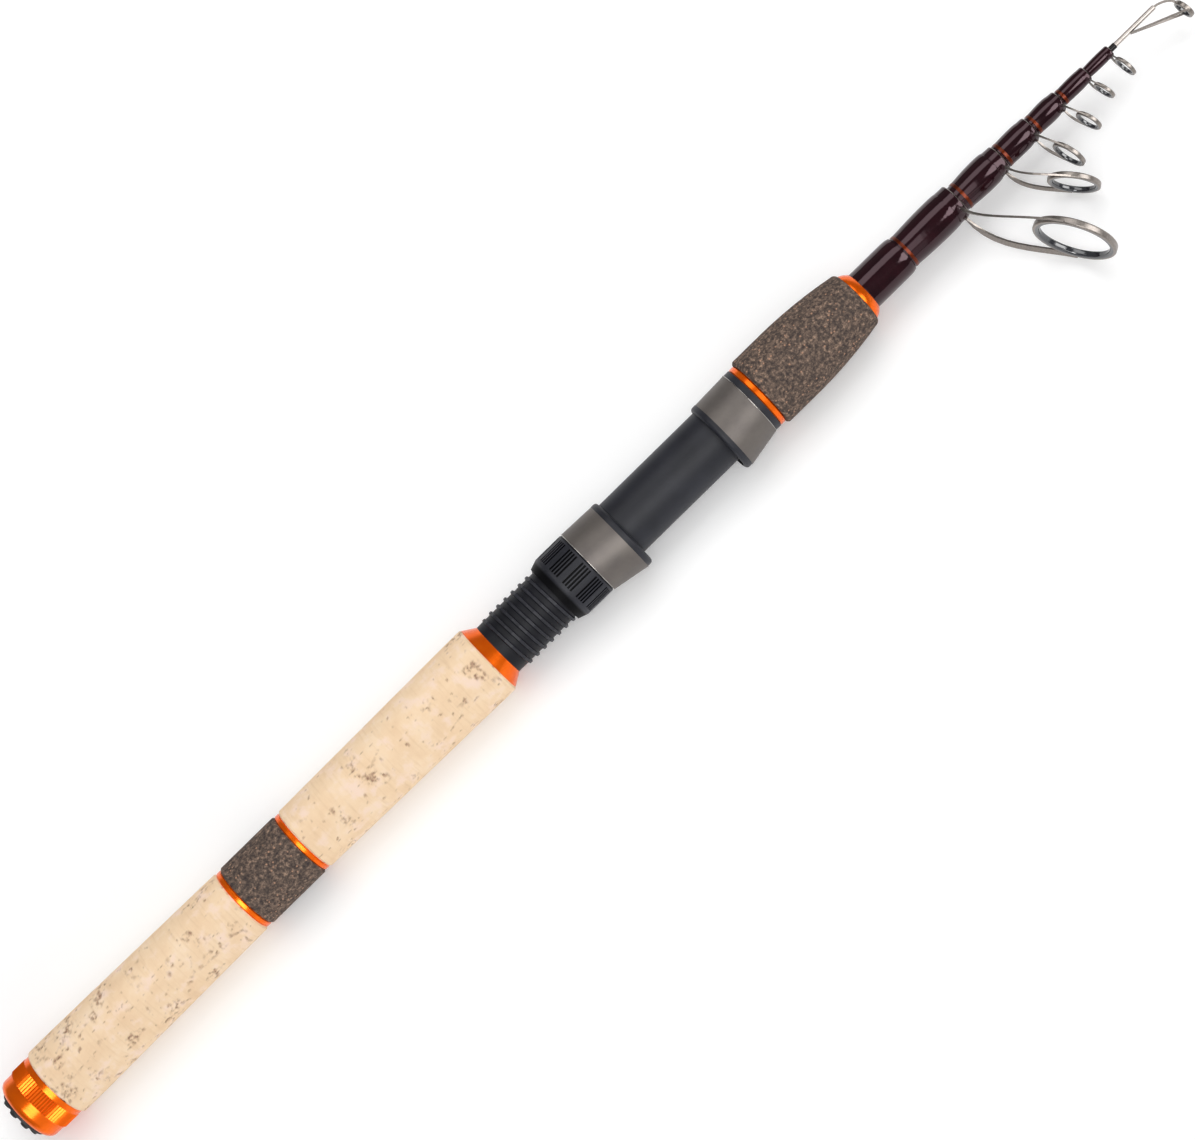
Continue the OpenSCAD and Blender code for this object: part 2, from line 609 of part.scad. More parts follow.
// Sections
// A tube: the butt section's is straight. The others flare backward, inside and out, to a base that locks in
// the mouth before it, and thin a little toward their own whipping
module section_tube(i) color("#2b0a10") {
    mouth_r = mouth_d(i) / 2;
    outer_r = tube_d(i) / 2;
    lock_x = mouth_x(i) - lock_len;
    flare = i == 1 ? 0 : base_r(i) - outer_r;
    middle_r = outer_r + blank_taper;
    rear = i == 1 ? [[bore_r(i), shoulder_x], [outer_r, shoulder_x]]
        : [[bore_r(i), base_x + flare / lock_slope], [bore_r(i) + flare, base_x], [base_r(i), base_x],
           [middle_r, base_x + (base_r(i) - middle_r) / lock_slope], [middle_r, lock_x], [outer_r, whip_x(i)]];
    front = [[outer_r, mouth_x(i) - mouth_edge], [outer_r - mouth_edge, mouth_x(i)], [mouth_r, mouth_x(i)],
        [mouth_r + lock_bite + lock_clear, lock_x], [bore_r(i), lock_x]];
    turned(concat(rear, front));
}

module butt_tube() section_tube(1);

// The lacquered whipping at a section's mouth: it swells over most of its length, then rounds off
function whip_end(i) = mouth_x(i) - (i == 1 ? 0 : foot_len[i - 2]);
function whip_front_r(i) = tube_d(i) / 2 + (i == 1 ? eps : foot_wall);
swell = 0.7;
swell_power = 2.6;
function whip_r(i, x) =
    let(t = (x - whip_x(i)) / (whip_end(i) - whip_x(i)), rear = tube_d(i) / 2 + whip_wall[i - 1],
        peak = tube_d(i) / 2 + whip_peak[i - 1], fall = max(0, (t - swell) / (1 - swell)))
    t < swell ? rear + (peak - rear) * sin(90 * t / swell)
        : whip_front_r(i) + (peak - whip_front_r(i)) * sqrt(max(0, 1 - pow(fall, swell_power)));

module section_whipping(i) color("#2b0a10") {
    inner_r = tube_d(i) / 2;
    length = whip_end(i) - whip_x(i);
    steps = 14;
    difference() {
        turned(concat([[inner_r, whip_x(i)]],
            [for (k = [0 : steps]) let(x = whip_x(i) + length * k / steps) [whip_r(i, x), x]],
            [[inner_r, whip_end(i)]]));
        if (i > 1 && i < last - 1) trim_band(i, over);
    }
}

// The band let into the whipping behind its rear edge; proud is how far it reaches beyond the whipping
module trim_band(i, proud) {
    x0 = whip_x(i) + trim_inset[i - 2];
    x1 = x0 + trim_w;
    sleeve(x0, x1, whip_r(i, x1) + proud, whip_r(i, x0) - trim_depth);
}

module section_trim_ring(i) color("#e8640a") trim_band(i, trim_proud);

module section_1_whipping() section_whipping(1);

// Guides
// Shares: rounding of a ring's edges, flare of an insert, how deep legs run into a ring, bow of the legs
ring_round = 0.6;
insert_flare = 0.7;
leg_bite = 0.4;
leg_bow_foot = 0.45;
leg_bow_ring = 0.42;

// The body of a ring before it is bored, on its own axis, with rounded outer edges
module ring_blank(outer_r, wall, length) {
    edge = ring_round * min(wall, length / 2);
    turned(concat([[0, -length / 2]], arc([outer_r - edge, edge - length / 2], edge, -90, 0),
        arc([outer_r - edge, length / 2 - edge], edge, 0, 90), [[0, length / 2]]));
}

// A ceramic insert: a straight land in the bore, with wide rounded edges
module guide_insert(outer_r, wall, length, land) {
    lip = (length - land) / 2;
    inner_r = outer_r - wall;
    lip_points = [for (k = [0 : arc_steps]) let(a = 90 * k / arc_steps)
        [inner_r + insert_flare * wall * (1 - cos(a)), land / 2 + lip * sin(a)]];
    turned(concat([for (p = lip_points) p], [[outer_r, length / 2], [outer_r, -length / 2]],
        [for (k = [arc_steps : -1 : 0]) [lip_points[k][0], -lip_points[k][1]]]));
}

// Puts what is made round the origin, with its axis along X, at a ring's place
module at_ring(x, reach, lean) translate([x, -reach, 0]) rotate([0, 0, lean]) children();

// A point of a ring at an angle from its side, positive away from the rod
function ring_point(x, reach, lean, r, side, angle) =
    [x, -reach, 0] + r * (cos(angle) * [0, 0, side] + sin(angle) * [sin(lean), -cos(lean), 0]);

// The way a ring's axis points, toward the tip
function ring_axis(lean) = [cos(lean), sin(lean), 0];

function ring_x(i) = mouth_x(i) + ring_ahead[i - 2];
function seat_r(i) = ring_d[i - 2] / 2 - ring_wall[i - 2];
module at_guide(i) rotate([-guide_turn[i - 2], 0, 0]) children();

module guide_frame(i) color("#8f8884") at_guide(i) {
    g = i - 2;
    outer_r = ring_d[g] / 2;
    foot_r = tube_d(i) / 2 + foot_wall;
    foot_x = mouth_x(i) - foot_len[g];
    difference() {
        union() {
            turned([[0, foot_x], [foot_r, foot_x], [foot_r, mouth_x(i) - foot_wall / 2],
                [foot_r - foot_wall / 2, mouth_x(i)], [0, mouth_x(i)]]);
            at_ring(ring_x(i), ring_reach[g], ring_lean[g]) ring_blank(outer_r, ring_wall[g], ring_len[g]);
            for (side = [-1, 1]) {
                away = [0, -cos(leg_spread), side * sin(leg_spread)];
                start = [mouth_x(i) - foot_len[g] / 2, 0, 0] + (foot_r - foot_wall / 2) * away;
                finish = ring_point(ring_x(i), ring_reach[g], ring_lean[g], outer_r - leg_bite * ring_wall[g],
                    side, -leg_arrive) - (ring_len[g] / 2 - leg_t[g]) * ring_axis(ring_lean[g]);
                span = start[1] - finish[1];
                into = [sin(ring_lean[g]), -cos(ring_lean[g]), 0];
                strip([start, start + leg_bow_foot * span * away, finish - leg_bow_ring * span * into, finish],
                    leg_w[g], leg_t[g], [0, -sin(leg_tilt), side * cos(leg_tilt)]);
            }
        }
        rod(foot_x - over, mouth_x(i) + over, tube_d(i) / 2);
        at_ring(ring_x(i), ring_reach[g], ring_lean[g])
            rod(-ring_len[g] - over, ring_len[g] + over, seat_r(i));
    }
}

module guide_ceramic(i) color("#33343a") at_guide(i)
    at_ring(ring_x(i), ring_reach[i - 2], ring_lean[i - 2])
        guide_insert(seat_r(i), insert_wall[i - 2], ring_len[i - 2], insert_land[i - 2]);

// Tip
tip_seat_r = tip_ring_d / 2 - tip_ring_wall;
tip_ring_x = tip_tube_front + tip_ring_ahead;
module at_tip_top() rotate([-tip_turn, 0, 0]) children();

module tip_rod() color("#2b0a10") {
    r = tip_rod_d / 2;
    shoulder = mouth_x(last - 1) + stop_gap;
    shoulder_r = mouth_d(last - 1) / 2 + tip_stop;
    turned([[0, base_x], [base_r(last), base_x], [r, base_x + (base_r(last) - r) / lock_slope], [r, shoulder],
        [shoulder_r, shoulder], [shoulder_r, tip_x], [tip_core_d / 2, tip_x],
        [tip_core_d / 2, tip_tube_front - tip_tube_end], [0, tip_tube_front - tip_tube_end]]);
}

module tip_top_tube() color("#d8cfcb") turned([[tip_core_d / 2, tip_x], [tip_tube_d / 2, tip_x],
    [tip_tube_d / 2, tip_tube_front - small_edge], [tip_tube_d / 2 - small_edge, tip_tube_front],
    [0, tip_tube_front], [0, tip_tube_front - tip_tube_end], [tip_core_d / 2, tip_tube_front - tip_tube_end]]);

module tip_top_frame() color("#9c948e") at_tip_top() difference() {
    ring_r = tip_ring_d / 2 - leg_bite * tip_ring_wall;
    union() {
        at_ring(tip_ring_x, tip_ring_reach, tip_ring_lean)
            ring_blank(tip_ring_d / 2, tip_ring_wall, tip_ring_len);
        for (side = [-1, 1]) {
            start = [tip_x + brace_start, -tip_tube_d / 2, side * brace_apart];
            finish = ring_point(tip_ring_x, tip_ring_reach, tip_ring_lean, ring_r, side, brace_arrive);
            third = (finish - start) / 3;
            strip([start, start + third, finish - third + [0, 0, side * tip_wire], finish], tip_wire, tip_wire,
                [0, 0, 1]);
        }
        top = ring_point(tip_ring_x, tip_ring_reach, tip_ring_lean, ring_r, 1, -90);
        root = [tip_tube_front - small_edge, 0, 0];
        strip([root, root + [neck_lead, 0, 0], top + [0, neck_rise, 0], top], tip_wire, tip_wire, [0, 0, 1]);
    }
    rod(tip_x, tip_tube_front, tip_tube_d / 2);
    at_ring(tip_ring_x, tip_ring_reach, tip_ring_lean)
        rod(-tip_ring_len - over, tip_ring_len + over, tip_seat_r);
}

module tip_top_insert() color("#33343a") at_tip_top() at_ring(tip_ring_x, tip_ring_reach, tip_ring_lean)
    guide_insert(tip_seat_r, tip_insert_wall, tip_ring_len, tip_insert_land);

butt_tube();
section_1_whipping();
butt_ferrule();
rear_cork_grip();
rear_trim_ring();
grip_spacer();
middle_trim_ring();
main_cork_grip();
grip_collar();
reel_seat_body();
fixed_hood_sleeve();
reel_seat_arbor();
fore_trim_ring();
foregrip();
winding_check();
butt_seal();
butt_cap();
butt_button();
butt_pad();
moving_hood();
moving_hood_sleeve();
hood_nut();
for (i = sections) section_tube(i);
for (i = sections) section_whipping(i);
for (i = banded) section_trim_ring(i);
for (i = sections) guide_frame(i);
for (i = sections) guide_ceramic(i);
tip_rod();
tip_top_tube();
tip_top_frame();
tip_top_insert();
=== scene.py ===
# %% [markdown]
# # A telescopic fishing rod, pushed together
# The rod is shown as it travels: eight tubes pushed into each other, a cork handle, a reel seat with a
# screwed hood, and a row of line guides that stand close together at the tip end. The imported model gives
# the true sizes and places. This lesson dresses it: camera and lights first, then the finishes of the
# pieces that stay as they are, then the pieces whose surface deserves a mesh of its own.

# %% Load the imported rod
import math

import bpy
from mathutils import Matrix, Vector, noise


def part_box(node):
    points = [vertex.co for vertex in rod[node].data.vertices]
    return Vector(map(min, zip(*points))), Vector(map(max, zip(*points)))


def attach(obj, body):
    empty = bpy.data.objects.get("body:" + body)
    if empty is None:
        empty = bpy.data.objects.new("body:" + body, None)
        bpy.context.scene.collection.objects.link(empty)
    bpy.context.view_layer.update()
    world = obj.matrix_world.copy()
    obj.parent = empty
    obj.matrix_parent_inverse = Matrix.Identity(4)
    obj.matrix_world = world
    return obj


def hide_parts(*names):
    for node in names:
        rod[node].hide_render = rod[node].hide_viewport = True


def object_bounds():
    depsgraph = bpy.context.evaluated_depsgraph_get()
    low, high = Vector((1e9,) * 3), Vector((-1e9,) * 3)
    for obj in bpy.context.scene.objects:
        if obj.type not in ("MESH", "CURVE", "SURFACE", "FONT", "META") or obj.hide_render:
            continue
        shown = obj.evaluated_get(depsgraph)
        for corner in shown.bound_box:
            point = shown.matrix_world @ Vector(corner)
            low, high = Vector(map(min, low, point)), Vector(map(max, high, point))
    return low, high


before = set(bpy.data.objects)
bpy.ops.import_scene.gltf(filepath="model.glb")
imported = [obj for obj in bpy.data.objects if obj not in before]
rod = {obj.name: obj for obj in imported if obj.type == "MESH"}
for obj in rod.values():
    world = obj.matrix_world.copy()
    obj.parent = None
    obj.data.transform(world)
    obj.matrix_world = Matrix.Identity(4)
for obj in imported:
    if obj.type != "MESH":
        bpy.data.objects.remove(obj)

cad_box = [list(corner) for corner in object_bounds()]
MM = 0.001  # in metres
print("nodes", len(rod), "box in mm", [[round(v / MM, 1) for v in corner] for corner in cad_box])

# %% [markdown]
# ## Camera
# The rod was photographed from above and a little from the guides' side, square to its length, with a
# long lens about a metre away. The picture is then turned so that the rod climbs from the lower left to
# the upper right. It could be turned in an image editor, but rolling the camera keeps the true
# perspective.

# %% Camera
elevation = math.radians(70)
roll = math.radians(44.415)
aim_along, aim_across, camera_distance = 0.2544, 0.0041, 1.008
along = Vector((1, 0, 0))
toward = Vector((0, -math.cos(elevation), math.sin(elevation)))
across = Vector((0, -math.sin(elevation), -math.cos(elevation)))
picture_right = math.cos(roll) * along + math.sin(roll) * across
picture_up = math.sin(roll) * along - math.cos(roll) * across
aim = aim_along * along + aim_across * across

bpy.ops.object.select_all(action="DESELECT")
bpy.ops.object.camera_add()
camera = bpy.context.object
camera.name = "photo_camera"
camera.data.lens = 94.9
camera.data.sensor_width = 36
turn = Matrix((picture_right, picture_up, toward)).transposed().to_4x4()
camera.matrix_world = Matrix.Translation(aim + camera_distance * toward) @ turn
bpy.context.scene.camera = camera
bpy.context.scene.view_settings.view_transform = "Standard"
print("camera at", [round(v, 3) for v in camera.location])

# %% [markdown]
# ## Colours, nodes and finishes
# Colours are written as sRGB hex values, but shaders count in linear light, so one function converts
# them. Another adds a shader node, sets its options and links its inputs, so that each finish below reads
# as a list of what it is made of. Patterns lie on Object coordinates, in metres, so their scale comes
# from a size in millimetres.

# %% Colour helper
def hex_colour(code):
    """An sRGB hex colour in linear light, with an alpha of one."""
    parts = [int(code[k:k + 2], 16) / 255 for k in (1, 3, 5)]
    return [v / 12.92 if v <= 0.04045 else ((v + 0.055) / 1.055) ** 2.4 for v in parts] + [1.0]


print("middle grey in linear light", round(hex_colour("#808080")[0], 3))

# %% Node helpers
def add_node(tree, kind, inputs=None, stops=(), **options):
    """Adds a node: options first, then inputs, linked or set, and the stops of a colour ramp."""
    made = tree.nodes.new(kind)
    for key, value in options.items():
        setattr(made, key, value)
    for key, value in (inputs or {}).items():
        if isinstance(value, bpy.types.NodeSocket):
            tree.links.new(value, made.inputs[key])
        else:
            made.inputs[key].default_value = value
    for count, (place, code) in enumerate(stops):
        element = made.color_ramp.elements[count] if count < 2 else made.color_ramp.elements.new(place)
        element.position = place
        element.color = hex_colour(code)
    return made


def per_mm(size):
    """The texture scale at which a pattern repeats about every size millimetres."""
    return 1 / (size * MM)


print("scale of a pattern of 2 mm", round(per_mm(2)))

# %% Finish helpers
def new_finish(name, **settings):
    """A material with its shader's sockets set, its tree, its shader and its Object coordinates."""
    made = bpy.data.materials.new(name)
    made.use_nodes = True
    shader = made.node_tree.nodes["Principled BSDF"]
    for key, value in settings.items():
        shader.inputs[key.replace("_", " ")].default_value = value
    place = add_node(made.node_tree, "ShaderNodeTexCoord").outputs["Object"]
    return made, made.node_tree, shader, place


def dress(made, *names):
    """Gives a finish to carried-over pieces by name."""
    for name in names:
        rod[name].data.materials.clear()
        rod[name].data.materials.append(made)
    print(made.name, "on", len(names), "pieces")


# %% [markdown]
# ## Table
# The picture was taken on white. The table is a pale disc that the handle just touches. It glows a little
# for the camera and for mirrored rays, which turns it pure white, and it still takes the rod's shadow.

# %% White table
table_top = cad_box[0][2]
bpy.ops.object.select_all(action="DESELECT")
bpy.ops.mesh.primitive_circle_add(vertices=96, radius=3.0, fill_type="NGON",
                                  location=(0.25, 0, table_top))
table = bpy.context.object
table.name = "white_table"
white_paint, tree, shader, _ = new_finish("white_painted_board", Roughness=0.9)
shader.inputs["Specular IOR Level"].default_value = 0.1
shader.inputs["Base Color"].default_value = hex_colour("#F4F4F4")
seen = add_node(tree, "ShaderNodeLightPath")
mirrored = add_node(tree, "ShaderNodeMath", {0: seen.outputs["Is Glossy Ray"],
                                             1: seen.outputs["Is Transmission Ray"]}, operation="MAXIMUM")
looked_at = add_node(tree, "ShaderNodeMath", {0: seen.outputs["Is Camera Ray"], 1: mirrored.outputs[0]},
                     operation="MAXIMUM")
glow = add_node(tree, "ShaderNodeMath", {0: looked_at.outputs[0], 1: 0.15}, operation="MULTIPLY")
shader.inputs["Emission Color"].default_value = hex_colour("#FFFFFF")
tree.links.new(glow.outputs[0], shader.inputs["Emission Strength"])
table.data.materials.append(white_paint)
print("table top at", round(table_top / MM, 2), "mm")

# %% [markdown]
# ## Light
# What lacquer and metal show is mostly the lamps, so these are placed by their reflections. On a round
# tube a lamp that stands twice as far round as the surface is turned shows there. A wide box behind the
# rod gives the dim grey band along the upper side of the tubes. Two boxes beside the camera, the one over
# the butt brighter, give the yellow patches on the orange rings, and an oval one beyond the tip lights
# the forward rounding of each tube's mouth like a flame. A box at the guides' side keeps the rings orange
# there. Three large fills are hidden from mirrored rays, and the two bright boxes are hidden from matt
# surfaces, so the light on the cork and the glints on the metal can be set apart.

# %% Soft box helper
def soft_box(name, angle, distance, length, width, radiance, station, shape="RECTANGLE", mirrored=True,
             matt=True):
    """An area light round the rod: angle 0 is over the camera, positive toward the guides' side."""
    turned = math.radians(angle)
    way = math.cos(turned) * toward + math.sin(turned) * across
    bpy.ops.object.select_all(action="DESELECT")
    bpy.ops.object.light_add(type="AREA", location=station * along + distance * way)
    lamp = bpy.context.object
    lamp.name = name
    lamp.rotation_euler = Matrix((along, way.cross(along), way)).transposed().to_euler()
    lamp.data.shape = shape
    lamp.data.size, lamp.data.size_y = length, width
    area = length * width * (math.pi / 4 if shape == "ELLIPSE" else 1)
    lamp.data.energy = radiance * math.pi * area
    lamp.visible_glossy = mirrored
    lamp.visible_diffuse = matt
    print(name, "at", [round(v, 2) for v in lamp.location], "with", round(lamp.data.energy, 2), "W")


# %% Soft boxes
# Angle in degrees, distance, length and width in metres, radiance, and station along the rod in metres.
soft_box("back_soft_box", -42, 1.1, 1.3, 0.6, 2.1, 0.68)
soft_box("bright_box_over_the_butt", 9.5, 1.1, 0.3, 0.72, 11.0, -0.17, matt=False)
soft_box("box_by_the_camera", 9.5, 1.1, 0.5, 0.72, 1.8, 0.23)
soft_box("oval_box_beyond_the_tip", 20, 1.1, 1.3, 0.9, 5.0, 1.25, shape="ELLIPSE", matt=False)
soft_box("guide_side_box", 50, 1.3, 1.1, 0.85, 0.6, -0.05)
soft_box("overhead_fill", -10, 1.5, 2.2, 1.2, 0.95, 0.25, mirrored=False)
soft_box("back_fill", -70, 1.3, 2.2, 1.2, 0.55, 0.25, mirrored=False)
soft_box("guide_side_fill", 50, 1.3, 2.2, 0.85, 1.65, 0.25, mirrored=False)

# %% Dim room
world = bpy.data.worlds.new("dim_studio")
bpy.context.scene.world = world
world.use_nodes = True
room = world.node_tree.nodes["Background"].inputs
room["Color"].default_value = hex_colour("#FFFFFF")
room["Strength"].default_value = 0.22
print("room at", round(room["Strength"].default_value, 2), "of white")

# %% [markdown]
# ## Anodised aluminium
# The screw cap, the trim rings, the collar and the winding check are turned from aluminium and dyed
# orange. The dye sits in the clear oxide skin, so a bright lamp mirrored in it turns yellow and the dim
# room deep red. Light that wanders in the skin comes back as plain orange, so the shader is only part
# metal. The coat is the skin's own faint white gloss. Fine turning marks run round each piece. They are
# drawn at 0.5 mm, coarser than they are, because finer ones wouldn't show.

# %% Orange anodised aluminium
orange_anodised, tree, shader, place = new_finish("orange_anodised_aluminium", Metallic=0.65,
                                                  Coat_Weight=0.06)
shader.inputs["Coat Roughness"].default_value = 0.12
shader.inputs["Specular IOR Level"].default_value = 0.2
round_and_round = add_node(tree, "ShaderNodeMapping", {"Vector": place, "Scale": (1, 0.02, 0.02)})
turning = add_node(tree, "ShaderNodeTexNoise", {"Vector": round_and_round.outputs[0],
                                                "Scale": per_mm(0.5), "Detail": 2})
mottle = add_node(tree, "ShaderNodeTexNoise", {"Vector": place, "Scale": per_mm(6), "Detail": 3})
dye = add_node(tree, "ShaderNodeValToRGB", {"Fac": mottle.outputs["Fac"]},
               [(0.3, "#EE6000"), (0.7, "#F86C04")])
tree.links.new(dye.outputs["Color"], shader.inputs["Base Color"])
gloss = add_node(tree, "ShaderNodeMapRange", {"Value": turning.outputs["Fac"], "To Min": 0.18,
                                              "To Max": 0.3})
tree.links.new(gloss.outputs["Result"], shader.inputs["Roughness"])
marks = add_node(tree, "ShaderNodeBump", {"Height": turning.outputs["Fac"], "Strength": 0.06,
                                          "Distance": 0.2 * MM})
tree.links.new(marks.outputs[0], shader.inputs["Normal"])
dress(orange_anodised, "butt_cap", "rear_trim_ring", "middle_trim_ring", "grip_collar", "fore_trim_ring",
      "winding_check")

# %% [markdown]
# ## Gunmetal sleeves
# Each hood of the reel seat wears a thin aluminium sleeve, blasted to a satin and anodised a warm grey.
# The blasting spreads the lamps into broad soft bands, so the roughness is high and nearly even. Its
# grit is drawn at 0.45 mm, coarser than it is, so that it shows.

# %% Gunmetal anodised aluminium
gunmetal, tree, shader, place = new_finish("gunmetal_anodised_aluminium", Metallic=0.6)
blasting = add_node(tree, "ShaderNodeTexNoise", {"Vector": place, "Scale": per_mm(0.45), "Detail": 4})
cloud = add_node(tree, "ShaderNodeTexNoise", {"Vector": place, "Scale": per_mm(7), "Detail": 3})
grey = add_node(tree, "ShaderNodeValToRGB", {"Fac": cloud.outputs["Fac"]},
                [(0.3, "#615B58"), (0.7, "#6B6560")])
tree.links.new(grey.outputs["Color"], shader.inputs["Base Color"])
gloss = add_node(tree, "ShaderNodeMapRange", {"Value": blasting.outputs["Fac"], "To Min": 0.44,
                                              "To Max": 0.56})
tree.links.new(gloss.outputs["Result"], shader.inputs["Roughness"])
grit = add_node(tree, "ShaderNodeBump", {"Height": blasting.outputs["Fac"], "Strength": 0.06,
                                         "Distance": 0.2 * MM})
tree.links.new(grit.outputs[0], shader.inputs["Normal"])
dress(gunmetal, "moving_hood_sleeve", "fixed_hood_sleeve")

# %% [markdown]
# ## Moulded nylon
# The reel seat, the nut and the hoods' lips are glass-filled nylon from a spark-eroded mould: nearly
# black, a little blue, with a fine grain that spreads the highlight into a soft band. The grain is drawn
# at 0.35 mm, coarser than it is, so that it shows. The bottoms of grooves and threads are darker and
# duller as painted shade, so colour and sheen follow the distance from the rod's axis.

# %% Black nylon helper
def black_nylon(name, groove, land, groove_sheen=0.06, land_sheen=0.28):
    """Nylon darkened and dulled inside the groove radius as painted shade, plain outside the land radius,
    in mm.
    """
    made, tree, shader, place = new_finish(name, IOR=1.53)
    grain = add_node(tree, "ShaderNodeTexNoise", {"Vector": place, "Scale": per_mm(0.35), "Detail": 3})
    cloud = add_node(tree, "ShaderNodeTexNoise", {"Vector": place, "Scale": per_mm(9), "Detail": 2})
    soot = add_node(tree, "ShaderNodeValToRGB", {"Fac": cloud.outputs["Fac"]},
                    [(0.3, "#191A21"), (0.7, "#21222A")])
    sideways = add_node(tree, "ShaderNodeMapping", {"Vector": place, "Scale": (0, 1, 1)})
    radius = add_node(tree, "ShaderNodeVectorMath", {0: sideways.outputs[0]}, operation="LENGTH")
    # Painted shade: grooves and thread bottoms turn darker and duller the nearer they lie to the axis.
    painted_groove_shade = add_node(tree, "ShaderNodeMapRange", {"Value": radius.outputs["Value"],
                                                   "From Min": groove * MM, "From Max": land * MM})
    shaded = add_node(tree, "ShaderNodeMix", {0: painted_groove_shade.outputs["Result"], 6: hex_colour("#08080A"),
                                              7: soot.outputs["Color"]}, data_type="RGBA")
    tree.links.new(shaded.outputs[2], shader.inputs["Base Color"])
    gloss = add_node(tree, "ShaderNodeMapRange", {"Value": grain.outputs["Fac"], "To Min": 0.4,
                                                  "To Max": 0.56})
    tree.links.new(gloss.outputs["Result"], shader.inputs["Roughness"])
    # The exported model keeps no linked specular level, so the socket also holds the land's.
    shader.inputs["Specular IOR Level"].default_value = land_sheen
    sheen = add_node(tree, "ShaderNodeMapRange", {"Value": painted_groove_shade.outputs["Result"],
                                                  "To Min": groove_sheen, "To Max": land_sheen})
    tree.links.new(sheen.outputs["Result"], shader.inputs["Specular IOR Level"])
    spark = add_node(tree, "ShaderNodeBump", {"Height": grain.outputs["Fac"], "Strength": 0.12,
                                              "Distance": 0.2 * MM})
    tree.links.new(spark.outputs[0], shader.inputs["Normal"])
    return made


# %% Black nylon
plain_nylon = black_nylon("black_nylon_plain", groove=9.0, land=9.5)
dress(plain_nylon, "moving_hood")
dress(black_nylon("black_nylon_ribbed", groove=11.7, land=12.0), "hood_nut")
dress(black_nylon("black_nylon_threaded", groove=9.2, land=10.4), "reel_seat_body")

# %% [markdown]
# ## Rubber, foam and bare metal
# The butt button and the O-ring are moulded rubber, dull and slightly grey where they are worn, with a
# grain drawn at 0.4 mm so that it shows. The pad in the cap and the arbor under the seat are foam with
# small closed cells. The ferrule in the cork is plain turned aluminium. All but the button are inside and
# only show when the rod is taken apart.

# %% Black rubber
black_rubber, tree, shader, place = new_finish("black_moulded_rubber", IOR=1.52)
grain = add_node(tree, "ShaderNodeTexNoise", {"Vector": place, "Scale": per_mm(0.4), "Detail": 4})
worn = add_node(tree, "ShaderNodeValToRGB", {"Fac": grain.outputs["Fac"]},
                [(0.3, "#101012"), (0.75, "#1E1E22")])
tree.links.new(worn.outputs["Color"], shader.inputs["Base Color"])
gloss = add_node(tree, "ShaderNodeMapRange", {"Value": grain.outputs["Fac"], "To Min": 0.5,
                                              "To Max": 0.7})
tree.links.new(gloss.outputs["Result"], shader.inputs["Roughness"])
skin = add_node(tree, "ShaderNodeBump", {"Height": grain.outputs["Fac"], "Strength": 0.2,
                                         "Distance": 0.2 * MM})
tree.links.new(skin.outputs[0], shader.inputs["Normal"])
dress(black_rubber, "butt_button", "butt_seal")

# %% Closed-cell foam
foam, tree, shader, place = new_finish("grey_closed_cell_foam", Roughness=0.95)
cells = add_node(tree, "ShaderNodeTexVoronoi", {"Vector": place, "Scale": per_mm(0.6)})
grey = add_node(tree, "ShaderNodeValToRGB", {"Fac": cells.outputs["Distance"]},
                [(0.1, "#2E2E30"), (0.6, "#5C5C60")])
tree.links.new(grey.outputs["Color"], shader.inputs["Base Color"])
pores = add_node(tree, "ShaderNodeBump", {"Height": cells.outputs["Distance"], "Strength": 0.5,
                                          "Distance": 0.3 * MM})
tree.links.new(pores.outputs[0], shader.inputs["Normal"])
dress(foam, "butt_pad", "reel_seat_arbor")

# %% Turned aluminium
turned_aluminium, tree, shader, place = new_finish("turned_aluminium", Metallic=1.0)
round_and_round = add_node(tree, "ShaderNodeMapping", {"Vector": place, "Scale": (1, 0.03, 0.03)})
turning = add_node(tree, "ShaderNodeTexNoise", {"Vector": round_and_round.outputs[0],
                                                "Scale": per_mm(0.4), "Detail": 2})
grey = add_node(tree, "ShaderNodeValToRGB", {"Fac": turning.outputs["Fac"]},
                [(0.3, "#A8A49E"), (0.7, "#C2BFBA")])
tree.links.new(grey.outputs["Color"], shader.inputs["Base Color"])
gloss = add_node(tree, "ShaderNodeMapRange", {"Value": turning.outputs["Fac"], "To Min": 0.2,
                                              "To Max": 0.36})
tree.links.new(gloss.outputs["Result"], shader.inputs["Roughness"])
dress(turned_aluminium, "butt_ferrule")

# %% [markdown]
# ## Guides
# The guides are pressed from stainless strip and tumbled to a satin, and their rings hold polished dark
# ceramic for the line to run on. The tip-top's tube is drawn and stays paler. Metal under a soft lamp is
# mostly a matter of roughness: satin spreads the lamp, a polished surface mirrors it.

# %% Guide steel
GUIDED = range(2, 8)  # the sections that carry a guide
guide_steel, tree, shader, place = new_finish("tumbled_stainless_steel", Metallic=1.0)
satin = add_node(tree, "ShaderNodeTexNoise", {"Vector": place, "Scale": per_mm(0.5), "Detail": 4})
grey = add_node(tree, "ShaderNodeValToRGB", {"Fac": satin.outputs["Fac"]},
                [(0.3, "#7E7772"), (0.7, "#968F89")])
tree.links.new(grey.outputs["Color"], shader.inputs["Base Color"])
gloss = add_node(tree, "ShaderNodeMapRange", {"Value": satin.outputs["Fac"], "To Min": 0.25,
                                              "To Max": 0.42})
tree.links.new(gloss.outputs["Result"], shader.inputs["Roughness"])
dress(guide_steel, "tip_top_frame", *[f"guide_{i}_frame" for i in GUIDED])

